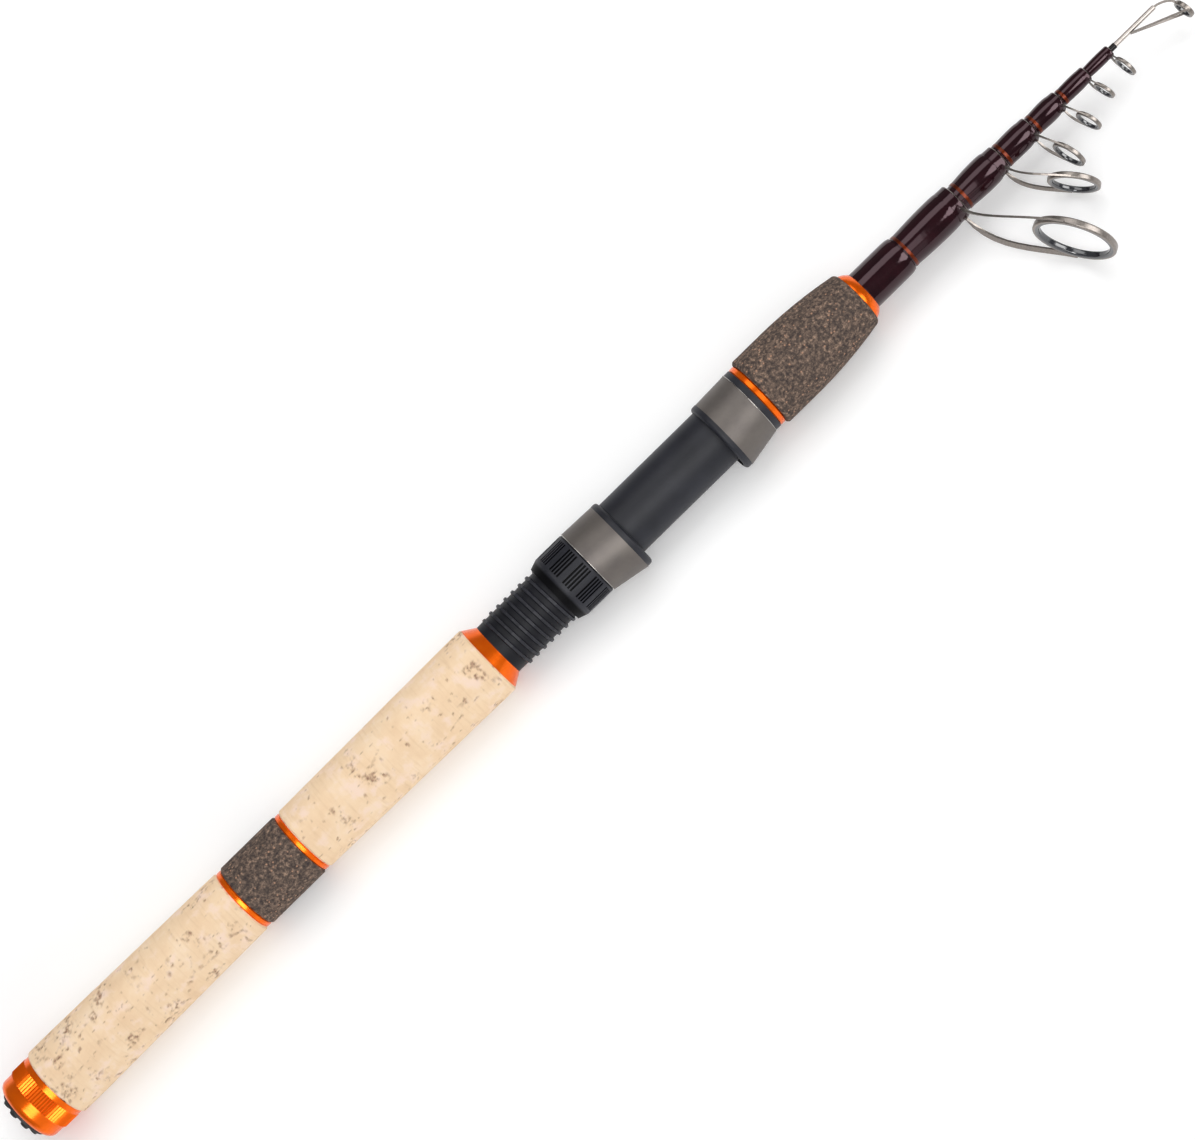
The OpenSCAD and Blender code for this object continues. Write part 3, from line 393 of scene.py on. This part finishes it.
# %% Bright steel tube
bright_steel, tree, shader, place = new_finish("drawn_stainless_steel", Metallic=1.0)
drawn = add_node(tree, "ShaderNodeTexNoise", {"Vector": place, "Scale": per_mm(0.8), "Detail": 3})
grey = add_node(tree, "ShaderNodeValToRGB", {"Fac": drawn.outputs["Fac"]},
                [(0.3, "#AFA6A0"), (0.7, "#C4BCB6")])
tree.links.new(grey.outputs["Color"], shader.inputs["Base Color"])
gloss = add_node(tree, "ShaderNodeMapRange", {"Value": drawn.outputs["Fac"], "To Min": 0.24,
                                              "To Max": 0.36})
tree.links.new(gloss.outputs["Result"], shader.inputs["Roughness"])
dress(bright_steel, "tip_top_tube")

# %% Dark ceramic
ceramic, tree, shader, place = new_finish("polished_zirconia_ceramic", IOR=1.9)
speck = add_node(tree, "ShaderNodeTexNoise", {"Vector": place, "Scale": per_mm(0.5), "Detail": 3})
slate = add_node(tree, "ShaderNodeValToRGB", {"Fac": speck.outputs["Fac"]},
                 [(0.3, "#17181D"), (0.75, "#2A2B32")])
tree.links.new(slate.outputs["Color"], shader.inputs["Base Color"])
gloss = add_node(tree, "ShaderNodeMapRange", {"Value": speck.outputs["Fac"], "To Min": 0.08,
                                              "To Max": 0.2})
tree.links.new(gloss.outputs["Result"], shader.inputs["Roughness"])
dress(ceramic, "tip_top_insert", *[f"guide_{i}_insert" for i in GUIDED])

# %% [markdown]
# ## Lacquered tubes
# The tubes are dark wine-red under a tinted lacquer that is nearly a mirror. The colour is almost black,
# so what the eye sees is the reflection of the lamps, a little mauve, with the slight waves of a dipped
# coat. The tip's shoulder is dipped again in black.

# %% Wine-red lacquer
def wine_lacquer(name, dark, light):
    """Lacquer that drifts between two hex colours."""
    made, tree, shader, place = new_finish(name, Roughness=0.09, IOR=1.5)
    shader.inputs["Specular Tint"].default_value = hex_colour("#FFDDE6")
    cloud = add_node(tree, "ShaderNodeTexNoise", {"Vector": place, "Scale": per_mm(4), "Detail": 4})
    wine = add_node(tree, "ShaderNodeValToRGB", {"Fac": cloud.outputs["Fac"]},
                    [(0.3, dark), (0.7, light)])
    tree.links.new(wine.outputs["Color"], shader.inputs["Base Color"])
    waves = add_node(tree, "ShaderNodeTexNoise", {"Vector": place, "Scale": per_mm(3.5), "Detail": 1})
    dip = add_node(tree, "ShaderNodeBump", {"Height": waves.outputs["Fac"], "Strength": 0.12,
                                            "Distance": 0.3 * MM})
    tree.links.new(dip.outputs[0], shader.inputs["Normal"])
    return made


lacquered_blank = wine_lacquer("wine_red_lacquered_blank", "#180307", "#24050D")
dress(lacquered_blank, "butt_tube", *[f"section_{i}_tube" for i in GUIDED])
lacquered_whipping = wine_lacquer("wine_red_lacquered_whipping", "#150206", "#20040B")

# %% Black lacquer
black_lacquer, tree, shader, place = new_finish("black_lacquered_tip", IOR=1.5)
shader.inputs["Specular IOR Level"].default_value = 0.3
cloud = add_node(tree, "ShaderNodeTexNoise", {"Vector": place, "Scale": per_mm(2), "Detail": 3})
soot = add_node(tree, "ShaderNodeValToRGB", {"Fac": cloud.outputs["Fac"]},
                [(0.3, "#0B0507"), (0.7, "#13080B")])
tree.links.new(soot.outputs["Color"], shader.inputs["Base Color"])
gloss = add_node(tree, "ShaderNodeMapRange", {"Value": cloud.outputs["Fac"], "To Min": 0.1,
                                              "To Max": 0.2})
tree.links.new(gloss.outputs["Result"], shader.inputs["Roughness"])
dress(black_lacquer, "tip_rod")

# %% [markdown]
# ## A lathe in the script
# Most pieces of a rod are turned, so the new ones are too. A circle is drawn at the first point of an
# outline, then extruded and resized from point to point, and at the end its two open edges are bridged.
# A spin or a screw modifier would do as well, but here each ring of the mesh is a station that can be
# measured on the rod.

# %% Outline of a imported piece
def outline(name, least):
    """A turned node's stations and the largest radius at each, in mm, where that is over the least."""
    widest = {}
    for vertex in rod[name].data.vertices:
        station = round(vertex.co.x / MM, 2)
        widest[station] = max(widest.get(station, 0), math.hypot(vertex.co.y, vertex.co.z) / MM)
    return [(x, r) for x, r in sorted(widest.items()) if r > least]


print("collar, station and radius in mm", [(x, round(r, 2)) for x, r in outline("grip_collar", 0)])

# %% Turning
def turn_piece(name, points, sides):
    """Turns a closed ring about the rod's axis from stations and radii in mm."""
    bpy.ops.object.select_all(action="DESELECT")
    x, r = points[0]
    bpy.ops.mesh.primitive_circle_add(vertices=sides, radius=r * MM, location=(x * MM, 0, 0),
                                      rotation=(0, math.pi / 2, 0))
    piece = bpy.context.object
    piece.name = piece.data.name = name
    bpy.ops.object.transform_apply(location=True, rotation=True, scale=True)
    bpy.ops.object.mode_set(mode="EDIT")
    bpy.ops.mesh.select_all(action="SELECT")
    for (x0, r0), (x1, r1) in zip(points, points[1:]):
        bpy.ops.mesh.extrude_region_move(TRANSFORM_OT_translate={"value": ((x1 - x0) * MM, 0, 0)})
        bpy.ops.transform.resize(value=(1, r1 / r0, r1 / r0), center_override=(x1 * MM, 0, 0))
    bpy.ops.mesh.select_all(action="DESELECT")
    bpy.ops.mesh.select_non_manifold()
    bpy.ops.mesh.bridge_edge_loops()
    bpy.ops.mesh.select_all(action="SELECT")
    bpy.ops.mesh.normals_make_consistent(inside=False)
    bpy.ops.object.mode_set(mode="OBJECT")
    return piece


# %% Finer rings
MOST_CUTS = 100  # the most that one subdivision makes


def split_long(points, longest):
    """Adds stations to an outline so that none lie farther apart than the longest step, in mm."""
    made = points[:1]
    for (x0, r0), (x1, r1) in zip(points, points[1:]):
        parts = max(1, math.ceil((x1 - x0) / longest))
        made += [(x0 + (x1 - x0) * k / parts, r0 + (r1 - r0) * k / parts) for k in range(1, parts + 1)]
    return made


def cut_rings(piece, start, stop, spacing, near=0.01, skin=0.8):
    """Cuts the skin between two stations into rings about spacing apart, all in mm."""
    bpy.ops.object.mode_set(mode="EDIT")
    bpy.ops.mesh.select_mode(type="EDGE")
    bpy.ops.mesh.select_all(action="DESELECT")
    bpy.ops.object.mode_set(mode="OBJECT")
    corners = piece.data.vertices
    least = skin * piece.dimensions.y / 2
    for edge in piece.data.edges:
        ends = sorted(corners[k].co.x / MM for k in edge.vertices)
        outer = all(math.hypot(*corners[k].co.yz) > least for k in edge.vertices)
        edge.select = outer and abs(ends[0] - start) < near and abs(ends[1] - stop) < near
    bpy.ops.object.mode_set(mode="EDIT")
    bpy.ops.mesh.subdivide(number_cuts=max(1, min(MOST_CUTS, round((stop - start) / spacing) - 1)))
    bpy.ops.mesh.select_mode(type="VERT")
    bpy.ops.object.mode_set(mode="OBJECT")


# %% Relief, shading and finish
def push_out(piece, name, weights, height):
    """Moves a piece's points along their normals by a weight each, times a height in mm."""
    group = piece.vertex_groups.new(name=name)
    for index, weight in enumerate(weights):
        if weight:
            group.add([index], weight, "REPLACE")
    bpy.ops.object.modifier_add(type="DISPLACE")
    push = piece.modifiers[-1]
    push.vertex_group = name
    push.mid_level = 0
    push.strength = height * MM
    bpy.ops.object.modifier_apply(modifier=push.name)


def smooth_shade(piece, angle):
    """Shades a piece smooth, but for edges sharper than an angle in degrees."""
    bpy.ops.object.select_all(action="DESELECT")
    piece.select_set(True)
    bpy.context.view_layer.objects.active = piece
    bpy.ops.object.shade_smooth_by_angle(angle=math.radians(angle))


def finish_piece(piece, made, slot, body, *nodes):
    """Gives a new piece its finish and its body, and hides the nodes it stands for."""
    piece.data.materials.append(made)
    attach(piece, body)
    if nodes:
        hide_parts(*nodes)
    print(piece.name, len(piece.data.polygons), "faces, on", body)


# %% [markdown]
# ## Cork
# The grips are rings of bark, glued up and sanded. Sanded cork is pale and soft to the eye, with fine
# growth lines, small brown pits in clusters and a few pale smudges of filler. The pits are real holes, so
# they are pushed into a dense mesh: noise gives each point a depth, which also colours the pit's brown
# floor.

# %% Cork pits
def rise(low, high, value):
    """Goes from 0 at the low value to 1 at the high one."""
    return min(1.0, max(0.0, (value - low) / (high - low)))


def cork_pit(point, crowding, cluster_size=7, grain_size=1.3, speck_size=1.5):
    """Depth of a pit at a point in mm, from 0 to 1: clustered grains, single specks, rows of dashes."""
    cluster = noise.fractal(point / cluster_size, 1.0, 2.0, 3) + crowding
    grain = noise.fractal(point / grain_size, 0.8, 2.1, 2)
    speck = noise.noise(point / speck_size + Vector((40, 7, 3)))
    row = abs(noise.noise(Vector((point.x / 60, point.y / 7, point.z / 7))))
    dash = noise.noise(Vector((point.x / 1.3, point.y / 4, point.z / 4)))
    return max(rise(-0.05, 0.45, grain) * rise(0.25, 0.55, cluster), 0.8 * rise(0.55, 0.7, speck),
               0.7 * rise(0.02, 0.008, row) * rise(0.1, 0.35, dash))


# %% Cork finish
cork, tree, shader, place = new_finish("sanded_natural_cork", Roughness=0.82)
shader.inputs["Specular IOR Level"].default_value = 0.2
cloud = add_node(tree, "ShaderNodeTexNoise", {"Vector": place, "Scale": per_mm(9), "Detail": 5,
                                              "Roughness": 0.6})
bark = add_node(tree, "ShaderNodeValToRGB", {"Fac": cloud.outputs["Fac"]},
                [(0.3, "#EACAA6"), (0.7, "#F5DDC0"), (0.5, "#F0D3B0")])
round_and_round = add_node(tree, "ShaderNodeMapping", {"Vector": place, "Scale": (1, 0.09, 0.09)})
growth = add_node(tree, "ShaderNodeTexNoise", {"Vector": round_and_round.outputs[0],
                                               "Scale": per_mm(0.9), "Detail": 4})
lines = add_node(tree, "ShaderNodeMapRange", {"Value": growth.outputs["Fac"], "From Min": 0.52,
                                              "From Max": 0.8, "To Max": 0.45})
lined = add_node(tree, "ShaderNodeMix", {0: lines.outputs["Result"], 6: bark.outputs["Color"],
                                         7: hex_colour("#D9B78F")}, data_type="RGBA")
smudge = add_node(tree, "ShaderNodeTexNoise", {"Vector": place, "Scale": per_mm(4.5), "Detail": 5})
filler = add_node(tree, "ShaderNodeMapRange", {"Value": smudge.outputs["Fac"], "From Min": 0.53,
                                               "From Max": 0.68, "To Max": 0.85})
filled = add_node(tree, "ShaderNodeMix", {0: filler.outputs["Result"], 6: lined.outputs[2],
                                          7: hex_colour("#F4D9C6")}, data_type="RGBA")
pit = add_node(tree, "ShaderNodeAttribute", attribute_name="pit")
crumb = add_node(tree, "ShaderNodeTexNoise", {"Vector": place, "Scale": per_mm(0.9), "Detail": 3})
floor_brown = add_node(tree, "ShaderNodeValToRGB", {"Fac": crumb.outputs["Fac"]},
                       [(0.36, "#8E6E5A"), (0.62, "#C2A185")])
pitted = add_node(tree, "ShaderNodeMix", {0: pit.outputs["Fac"], 6: filled.outputs[2],
                                          7: floor_brown.outputs["Color"]}, data_type="RGBA")
tree.links.new(pitted.outputs[2], shader.inputs["Base Color"])
fine = add_node(tree, "ShaderNodeBump", {"Height": growth.outputs["Fac"], "Strength": 0.12,
                                         "Distance": 0.3 * MM})
tree.links.new(fine.outputs[0], shader.inputs["Normal"])
print(cork.name, "from", len(tree.nodes), "nodes")

# %% Grip mesh
def turned_grip(name, node, bore, sides, spacing):
    """Turns a grip to a node's outline, over a bore in mm, and cuts its skin into fine rings."""
    stations = outline(node, bore)
    (x0, r0), (x1, r1) = stations[0], stations[-1]
    body = split_long(stations[1:-1], MOST_CUTS * spacing)
    piece = turn_piece(name, [(x0, bore), (x0, r0)] + body + [(x1, r1), (x1, bore)], sides)
    for (start, _), (stop, _) in zip(body, body[1:]):
        if stop - start > 1.5 * spacing:
            cut_rings(piece, start, stop, spacing)
    return piece


# %% Cork grips
def cork_grip(node, crowding, bore=11.0, wall=0.3, pit_depth=0.22):
    """Turns a cork grip and sinks its pits; crowding gives their number at a station in mm."""
    piece = turned_grip(f"{node}_bark", node, bore, sides=216, spacing=0.4)
    skin = [math.hypot(*vertex.co.yz) / MM > bore + wall for vertex in piece.data.vertices]
    depths = [cork_pit(vertex.co / MM, crowding(vertex.co.x / MM)) if outer else 0.0
              for vertex, outer in zip(piece.data.vertices, skin)]
    piece.data.attributes.new("pit", "FLOAT", "POINT").data.foreach_set("value", depths)
    push_out(piece, "pits", depths, -pit_depth)
    smooth_shade(piece, angle=40)
    finish_piece(piece, cork, "cork", "handle", node)


# The rear grip's pits crowd toward the butt, and the main grip has fewer.
cork_grip("rear_cork_grip", lambda x: 0.2 - 0.0028 * x)
cork_grip("main_cork_grip", lambda x: -0.08)

# %% [markdown]
# ## Composite cork
# The spacer and the foregrip are cork crumbs pressed with dark rubber. Seen close, short crumbs of every
# shade from brown-black to sand lie side by side, with a few pinkish ones. Two sizes of noise give the
# crumbs, a Voronoi pattern picks the pinkish ones, and a light relief gives the dull surface.

# %% Composite cork finish
composite_cork, tree, shader, place = new_finish("rubberised_composite_cork", Roughness=0.85)
shader.inputs["Specular IOR Level"].default_value = 0.2
crumbs = add_node(tree, "ShaderNodeTexNoise", {"Vector": place, "Scale": per_mm(1.15), "Detail": 3,
                                               "Roughness": 0.7})
shade = add_node(tree, "ShaderNodeValToRGB", {"Fac": crumbs.outputs["Fac"]},
                 [(0.33, "#383030"), (0.72, "#B0917A"), (0.45, "#4F443D"), (0.54, "#64544B"),
                  (0.63, "#846F60")])
cells = add_node(tree, "ShaderNodeTexVoronoi", {"Vector": place, "Scale": per_mm(1.1)})
pick = add_node(tree, "ShaderNodeSeparateColor", {"Color": cells.outputs["Color"]})
few = add_node(tree, "ShaderNodeMapRange", {"Value": pick.outputs[0], "From Min": 0.8, "From Max": 0.86})
near = add_node(tree, "ShaderNodeMapRange", {"Value": cells.outputs["Distance"], "From Min": 0.2,
                                             "From Max": 0.36, "To Min": 0.8, "To Max": 0.0})
pink = add_node(tree, "ShaderNodeMath", {0: few.outputs["Result"], 1: near.outputs["Result"]},
                operation="MULTIPLY")
mixed = add_node(tree, "ShaderNodeMix", {0: pink.outputs[0], 6: shade.outputs["Color"],
                                         7: hex_colour("#B98E73")}, data_type="RGBA")
tree.links.new(mixed.outputs[2], shader.inputs["Base Color"])
nubs = add_node(tree, "ShaderNodeBump", {"Height": crumbs.outputs["Fac"], "Strength": 0.3,
                                         "Distance": 0.3 * MM})
tree.links.new(nubs.outputs[0], shader.inputs["Normal"])
print(composite_cork.name, "from", len(tree.nodes), "nodes")

# %% Composite spacer and foregrip
def composite_grip(node, crumb_size=0.9, relief=0.06):
    """Turns a composite grip and sinks the gaps between its crumbs, in mm."""
    piece = turned_grip(f"{node}_crumb", node, bore=8.0, sides=208, spacing=0.4)
    weights = [rise(0.0, 0.6, noise.noise(vertex.co / MM / crumb_size)) for vertex in piece.data.vertices]
    push_out(piece, "crumbs", weights, -relief)
    smooth_shade(piece, angle=40)
    finish_piece(piece, composite_cork, "composite_cork", "handle", node)


composite_grip("grip_spacer")
composite_grip("foregrip")

# %% [markdown]
# ## Lacquered whippings
# Each tube's mouth is bound with thread and flooded with lacquer, which draws into a smooth swelling. The
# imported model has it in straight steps; here the same stations are turned again and a subdivision surface
# rounds them. A station close to each end keeps the ends crisp.

# %% Whipping helpers
BANDED = range(2, 7)  # the sections with an orange band
HAIR = 0.005  # how much wider than its bore a station counts as skin, in mm


def band_range(i):
    """The stations between which the orange band of a section lies, in mm."""
    low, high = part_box(f"section_{i}_trim_ring")
    return low[0] / MM, high[0] / MM


def bore_radius(node):
    """The least radius of a turned node, in mm."""
    return min(math.hypot(*vertex.co.yz) for vertex in rod[node].data.vertices) / MM


print("band of section 2 in mm", [round(x, 2) for x in band_range(2)])

# %% Whippings
def whipping(i, sides=48, crisp=0.12, clear=0.05):
    """Turns the lacquer on a section's mouth, smooth under its orange band."""
    node = f"section_{i}_whipping"
    wall = bore_radius(node)
    stations = outline(node, wall + HAIR)
    if i in BANDED:
        start, stop = band_range(i)
        stations = [(x, r) for x, r in stations if x < start - clear or x > stop + clear]
    (x0, r0), (x1, r1) = stations[0], stations[-1]
    body = [(x0, r0), (x0 + crisp, r0)] + stations[1:-1] + [(x1 - crisp, r1), (x1, r1)]
    piece = turn_piece(f"{node}_lacquer", [(x0, wall)] + body + [(x1, wall)], sides)
    bpy.ops.object.modifier_add(type="SUBSURF")
    rounder = piece.modifiers[-1]
    rounder.levels = rounder.render_levels = 2
    bpy.ops.object.modifier_apply(modifier=rounder.name)
    smooth_shade(piece, angle=60)
    rides_on = "handle" if i == 1 else f"section_{i}"
    finish_piece(piece, lacquered_whipping, "lacquered_whipping", rides_on, node)


for section in range(1, 8):
    whipping(section)

# %% [markdown]
# ## Thread bands
# Behind each swelling lie a few turns of metallic orange thread, wound side by side and lacquered over.
# The thread is turned as a row of small crests, which break the light into fine lines. It is bright only
# where it mirrors a lamp, and rust brown elsewhere.

# %% Orange thread finish
orange_thread, tree, shader, place = new_finish("orange_metallic_thread", Metallic=1.0, Coat_Weight=0.3)
shader.inputs["Coat Roughness"].default_value = 0.1
round_and_round = add_node(tree, "ShaderNodeMapping", {"Vector": place, "Scale": (1, 0.2, 0.2)})
fibre = add_node(tree, "ShaderNodeTexNoise", {"Vector": round_and_round.outputs[0],
                                              "Scale": per_mm(0.12), "Detail": 2})
dye = add_node(tree, "ShaderNodeValToRGB", {"Fac": fibre.outputs["Fac"]},
               [(0.3, "#4C1A06"), (0.7, "#742B0C")])
tree.links.new(dye.outputs["Color"], shader.inputs["Base Color"])
gloss = add_node(tree, "ShaderNodeMapRange", {"Value": fibre.outputs["Fac"], "To Min": 0.3,
                                              "To Max": 0.45})
tree.links.new(gloss.outputs["Result"], shader.inputs["Roughness"])
print(orange_thread.name, "from", len(tree.nodes), "nodes")

# %% Thread bands
def thread_band(i, wraps=5, sides=72, valley=0.04, inside=0.2):
    """Turns a section's orange band as a row of wraps, with sizes in mm."""
    node = f"section_{i}_trim_ring"
    (start, r0), *_, (stop, r1) = outline(node, bore_radius(node) + HAIR)
    # One wrap: places along it, and how deep each lies under the crest.
    profile = [(0.0, valley), (0.2, valley * 0.3), (0.5, 0.0), (0.8, valley * 0.3)]
    places = [(wrap + t, sink) for wrap in range(wraps) for t, sink in profile] + [(wraps, valley)]
    skin = [(start + (stop - start) * k / wraps, r0 + (r1 - r0) * k / wraps - sink) for k, sink in places]
    points = [(start, r0 - inside)] + skin + [(stop, r1 - inside)]
    piece = turn_piece(f"section_{i}_thread_band", points, sides)
    smooth_shade(piece, angle=70)
    finish_piece(piece, orange_thread, "orange_thread", f"section_{i}", node)


for section in BANDED:
    thread_band(section)

# %% [markdown]
# ## Guide bindings
# Each guide is glued over its tube's mouth, and the joint is flooded with lacquer that hides the steel
# collar and gathers round the feet of the two legs. It rises out of the whipping, follows its rounding
# down and runs out in a cone at the mouth. The skin is cut into fine rings, and two soft swellings are
# pushed out where the legs leave.

# %% Shape of a binding
COLLAR = 0.53  # how far the lacquered collar stands out from the tube's skin, in mm
COLLAR_STEPS = 8


def radius_at(points, x):
    """The radius of an outline at a station between its ends, in mm."""
    (x0, r0), (x1, r1) = next(pair for pair in zip(points, points[1:]) if x <= pair[1][0])
    return r0 + (r1 - r0) * (x - x0) / (x1 - x0)


def binding_outline(skin, wall, mouth, film=0.03, lap=1.0):
    """The lacquer over a guide's collar, from under the whipping's skin to the tube's mouth, in mm."""
    whip_end = skin[-1][0]
    root, emerge, top = whip_end - lap, whip_end - lap * 0.75, whip_end - lap / 2
    front = mouth - 0.4
    top_radius = radius_at(skin, top) + film
    points = [(root, radius_at(skin, root) - 0.08), (emerge, radius_at(skin, emerge))]
    for k in range(COLLAR_STEPS + 1):
        t = k / COLLAR_STEPS
        fall = t * (1.5 - t / 2)
        points.append((top + (front - top) * t, top_radius + (wall + COLLAR - top_radius) * fall))
    return points + [(mouth - 0.18, wall + COLLAR - 0.12), (mouth - 0.1, wall + 0.2)]


def leg_swelling(point, facing, middle, radius, apart=35, width=1.1, length=0.8):
    """How far the lacquer swells at a point, from 0 to 1, round two legs apart degrees off the facing."""
    turned = abs(math.remainder(math.atan2(point.z, point.y) - facing, math.tau))
    around = (turned - math.radians(apart)) * radius / width
    beyond = (point.x / MM - middle) / length
    return math.exp(-around * around - beyond * beyond)


# %% Guide bindings
def guide_binding(i, sides=96, spacing=0.15, lump=0.5, least=0.01, skin_depth=0.3):
    """Turns the lacquer over a guide's collar and swells it at the guide's legs, in mm."""
    wall = bore_radius(f"section_{i}_whipping")
    skin = outline(f"section_{i}_whipping", wall + HAIR)
    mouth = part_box(f"section_{i}_tube")[1][0] / MM
    points = binding_outline(skin, wall, mouth)
    piece = turn_piece(f"guide_{i}_binding", points, sides)
    collar = points[2:3 + COLLAR_STEPS]
    for (start, _), (stop, _) in zip(collar, collar[1:]):
        cut_rings(piece, start, stop, spacing)
    low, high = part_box(f"guide_{i}_insert")
    facing = math.atan2(low[2] + high[2], low[1] + high[1])
    middle = (skin[-1][0] + mouth) / 2
    weights = []
    for vertex in piece.data.vertices:
        weight = leg_swelling(vertex.co, facing, middle, wall + COLLAR)
        outer = math.hypot(*vertex.co.yz) / MM > wall + skin_depth
        weights.append(weight if outer and weight > least else 0.0)
    push_out(piece, "legs", weights, lump)
    smooth_shade(piece, angle=60)
    finish_piece(piece, lacquered_whipping, "lacquered_whipping", f"section_{i}")


for section in GUIDED:
    guide_binding(section)

# %% [markdown]
# ## Small rings of the reel seat
# A thin black ring fills the gap between the nut and the hood as painted shade, so that the gap shows dark.
# The narrow end of each metal sleeve is cut bright with a diamond tool, which draws a fine light line
# round it.

# %% Bright edges
def sleeve_edge(node, narrow, body, inward, sides=128):
    """A bright ring of 0.2 mm on a sleeve's narrow end; inward is the way along X into the sleeve."""
    x, r = narrow
    # Each point: how far into the sleeve, and how far out of its skin, in mm.
    section = [(0.2, -0.3), (0.2, 0.01), (0.16, 0.03), (0.08, 0.03), (0.01, -0.04), (0.01, -0.3)]
    points = [(x + inside * inward, r + out) for inside, out in section]
    piece = turn_piece(f"{node}_edge", points, sides)
    smooth_shade(piece, angle=30)
    finish_piece(piece, turned_aluminium, "bare_aluminium", body)


sleeve_edge("moving_hood_sleeve", outline("moving_hood_sleeve", 0)[0], "moving_hood", 1)
sleeve_edge("fixed_hood_sleeve", outline("fixed_hood_sleeve", 0)[-1], "handle", -1)

# %% Dark ring in the nut's gap, painted shade
# Painted shade: a black nylon ring placed where the gap between nut and hood would be in shadow.
gap_shade_bore, gap_shade_edge, gap_shade_rim = 10.75, 11.7, 11.8
rounding, play = 0.05, 0.01
nut_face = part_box("hood_nut")[1][0] / MM + play
hood_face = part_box("moving_hood")[0][0] / MM - play
gap_shade_points = [(nut_face, gap_shade_bore), (nut_face, gap_shade_edge), (nut_face + rounding, gap_shade_rim),
                 (hood_face - rounding, gap_shade_rim), (hood_face, gap_shade_edge), (hood_face, gap_shade_bore)]
gap_shade_ring = turn_piece("hood_gap_shade_ring", gap_shade_points, sides=96)
smooth_shade(gap_shade_ring, angle=30)
finish_piece(gap_shade_ring, plain_nylon, "black_nylon", "moving_hood")
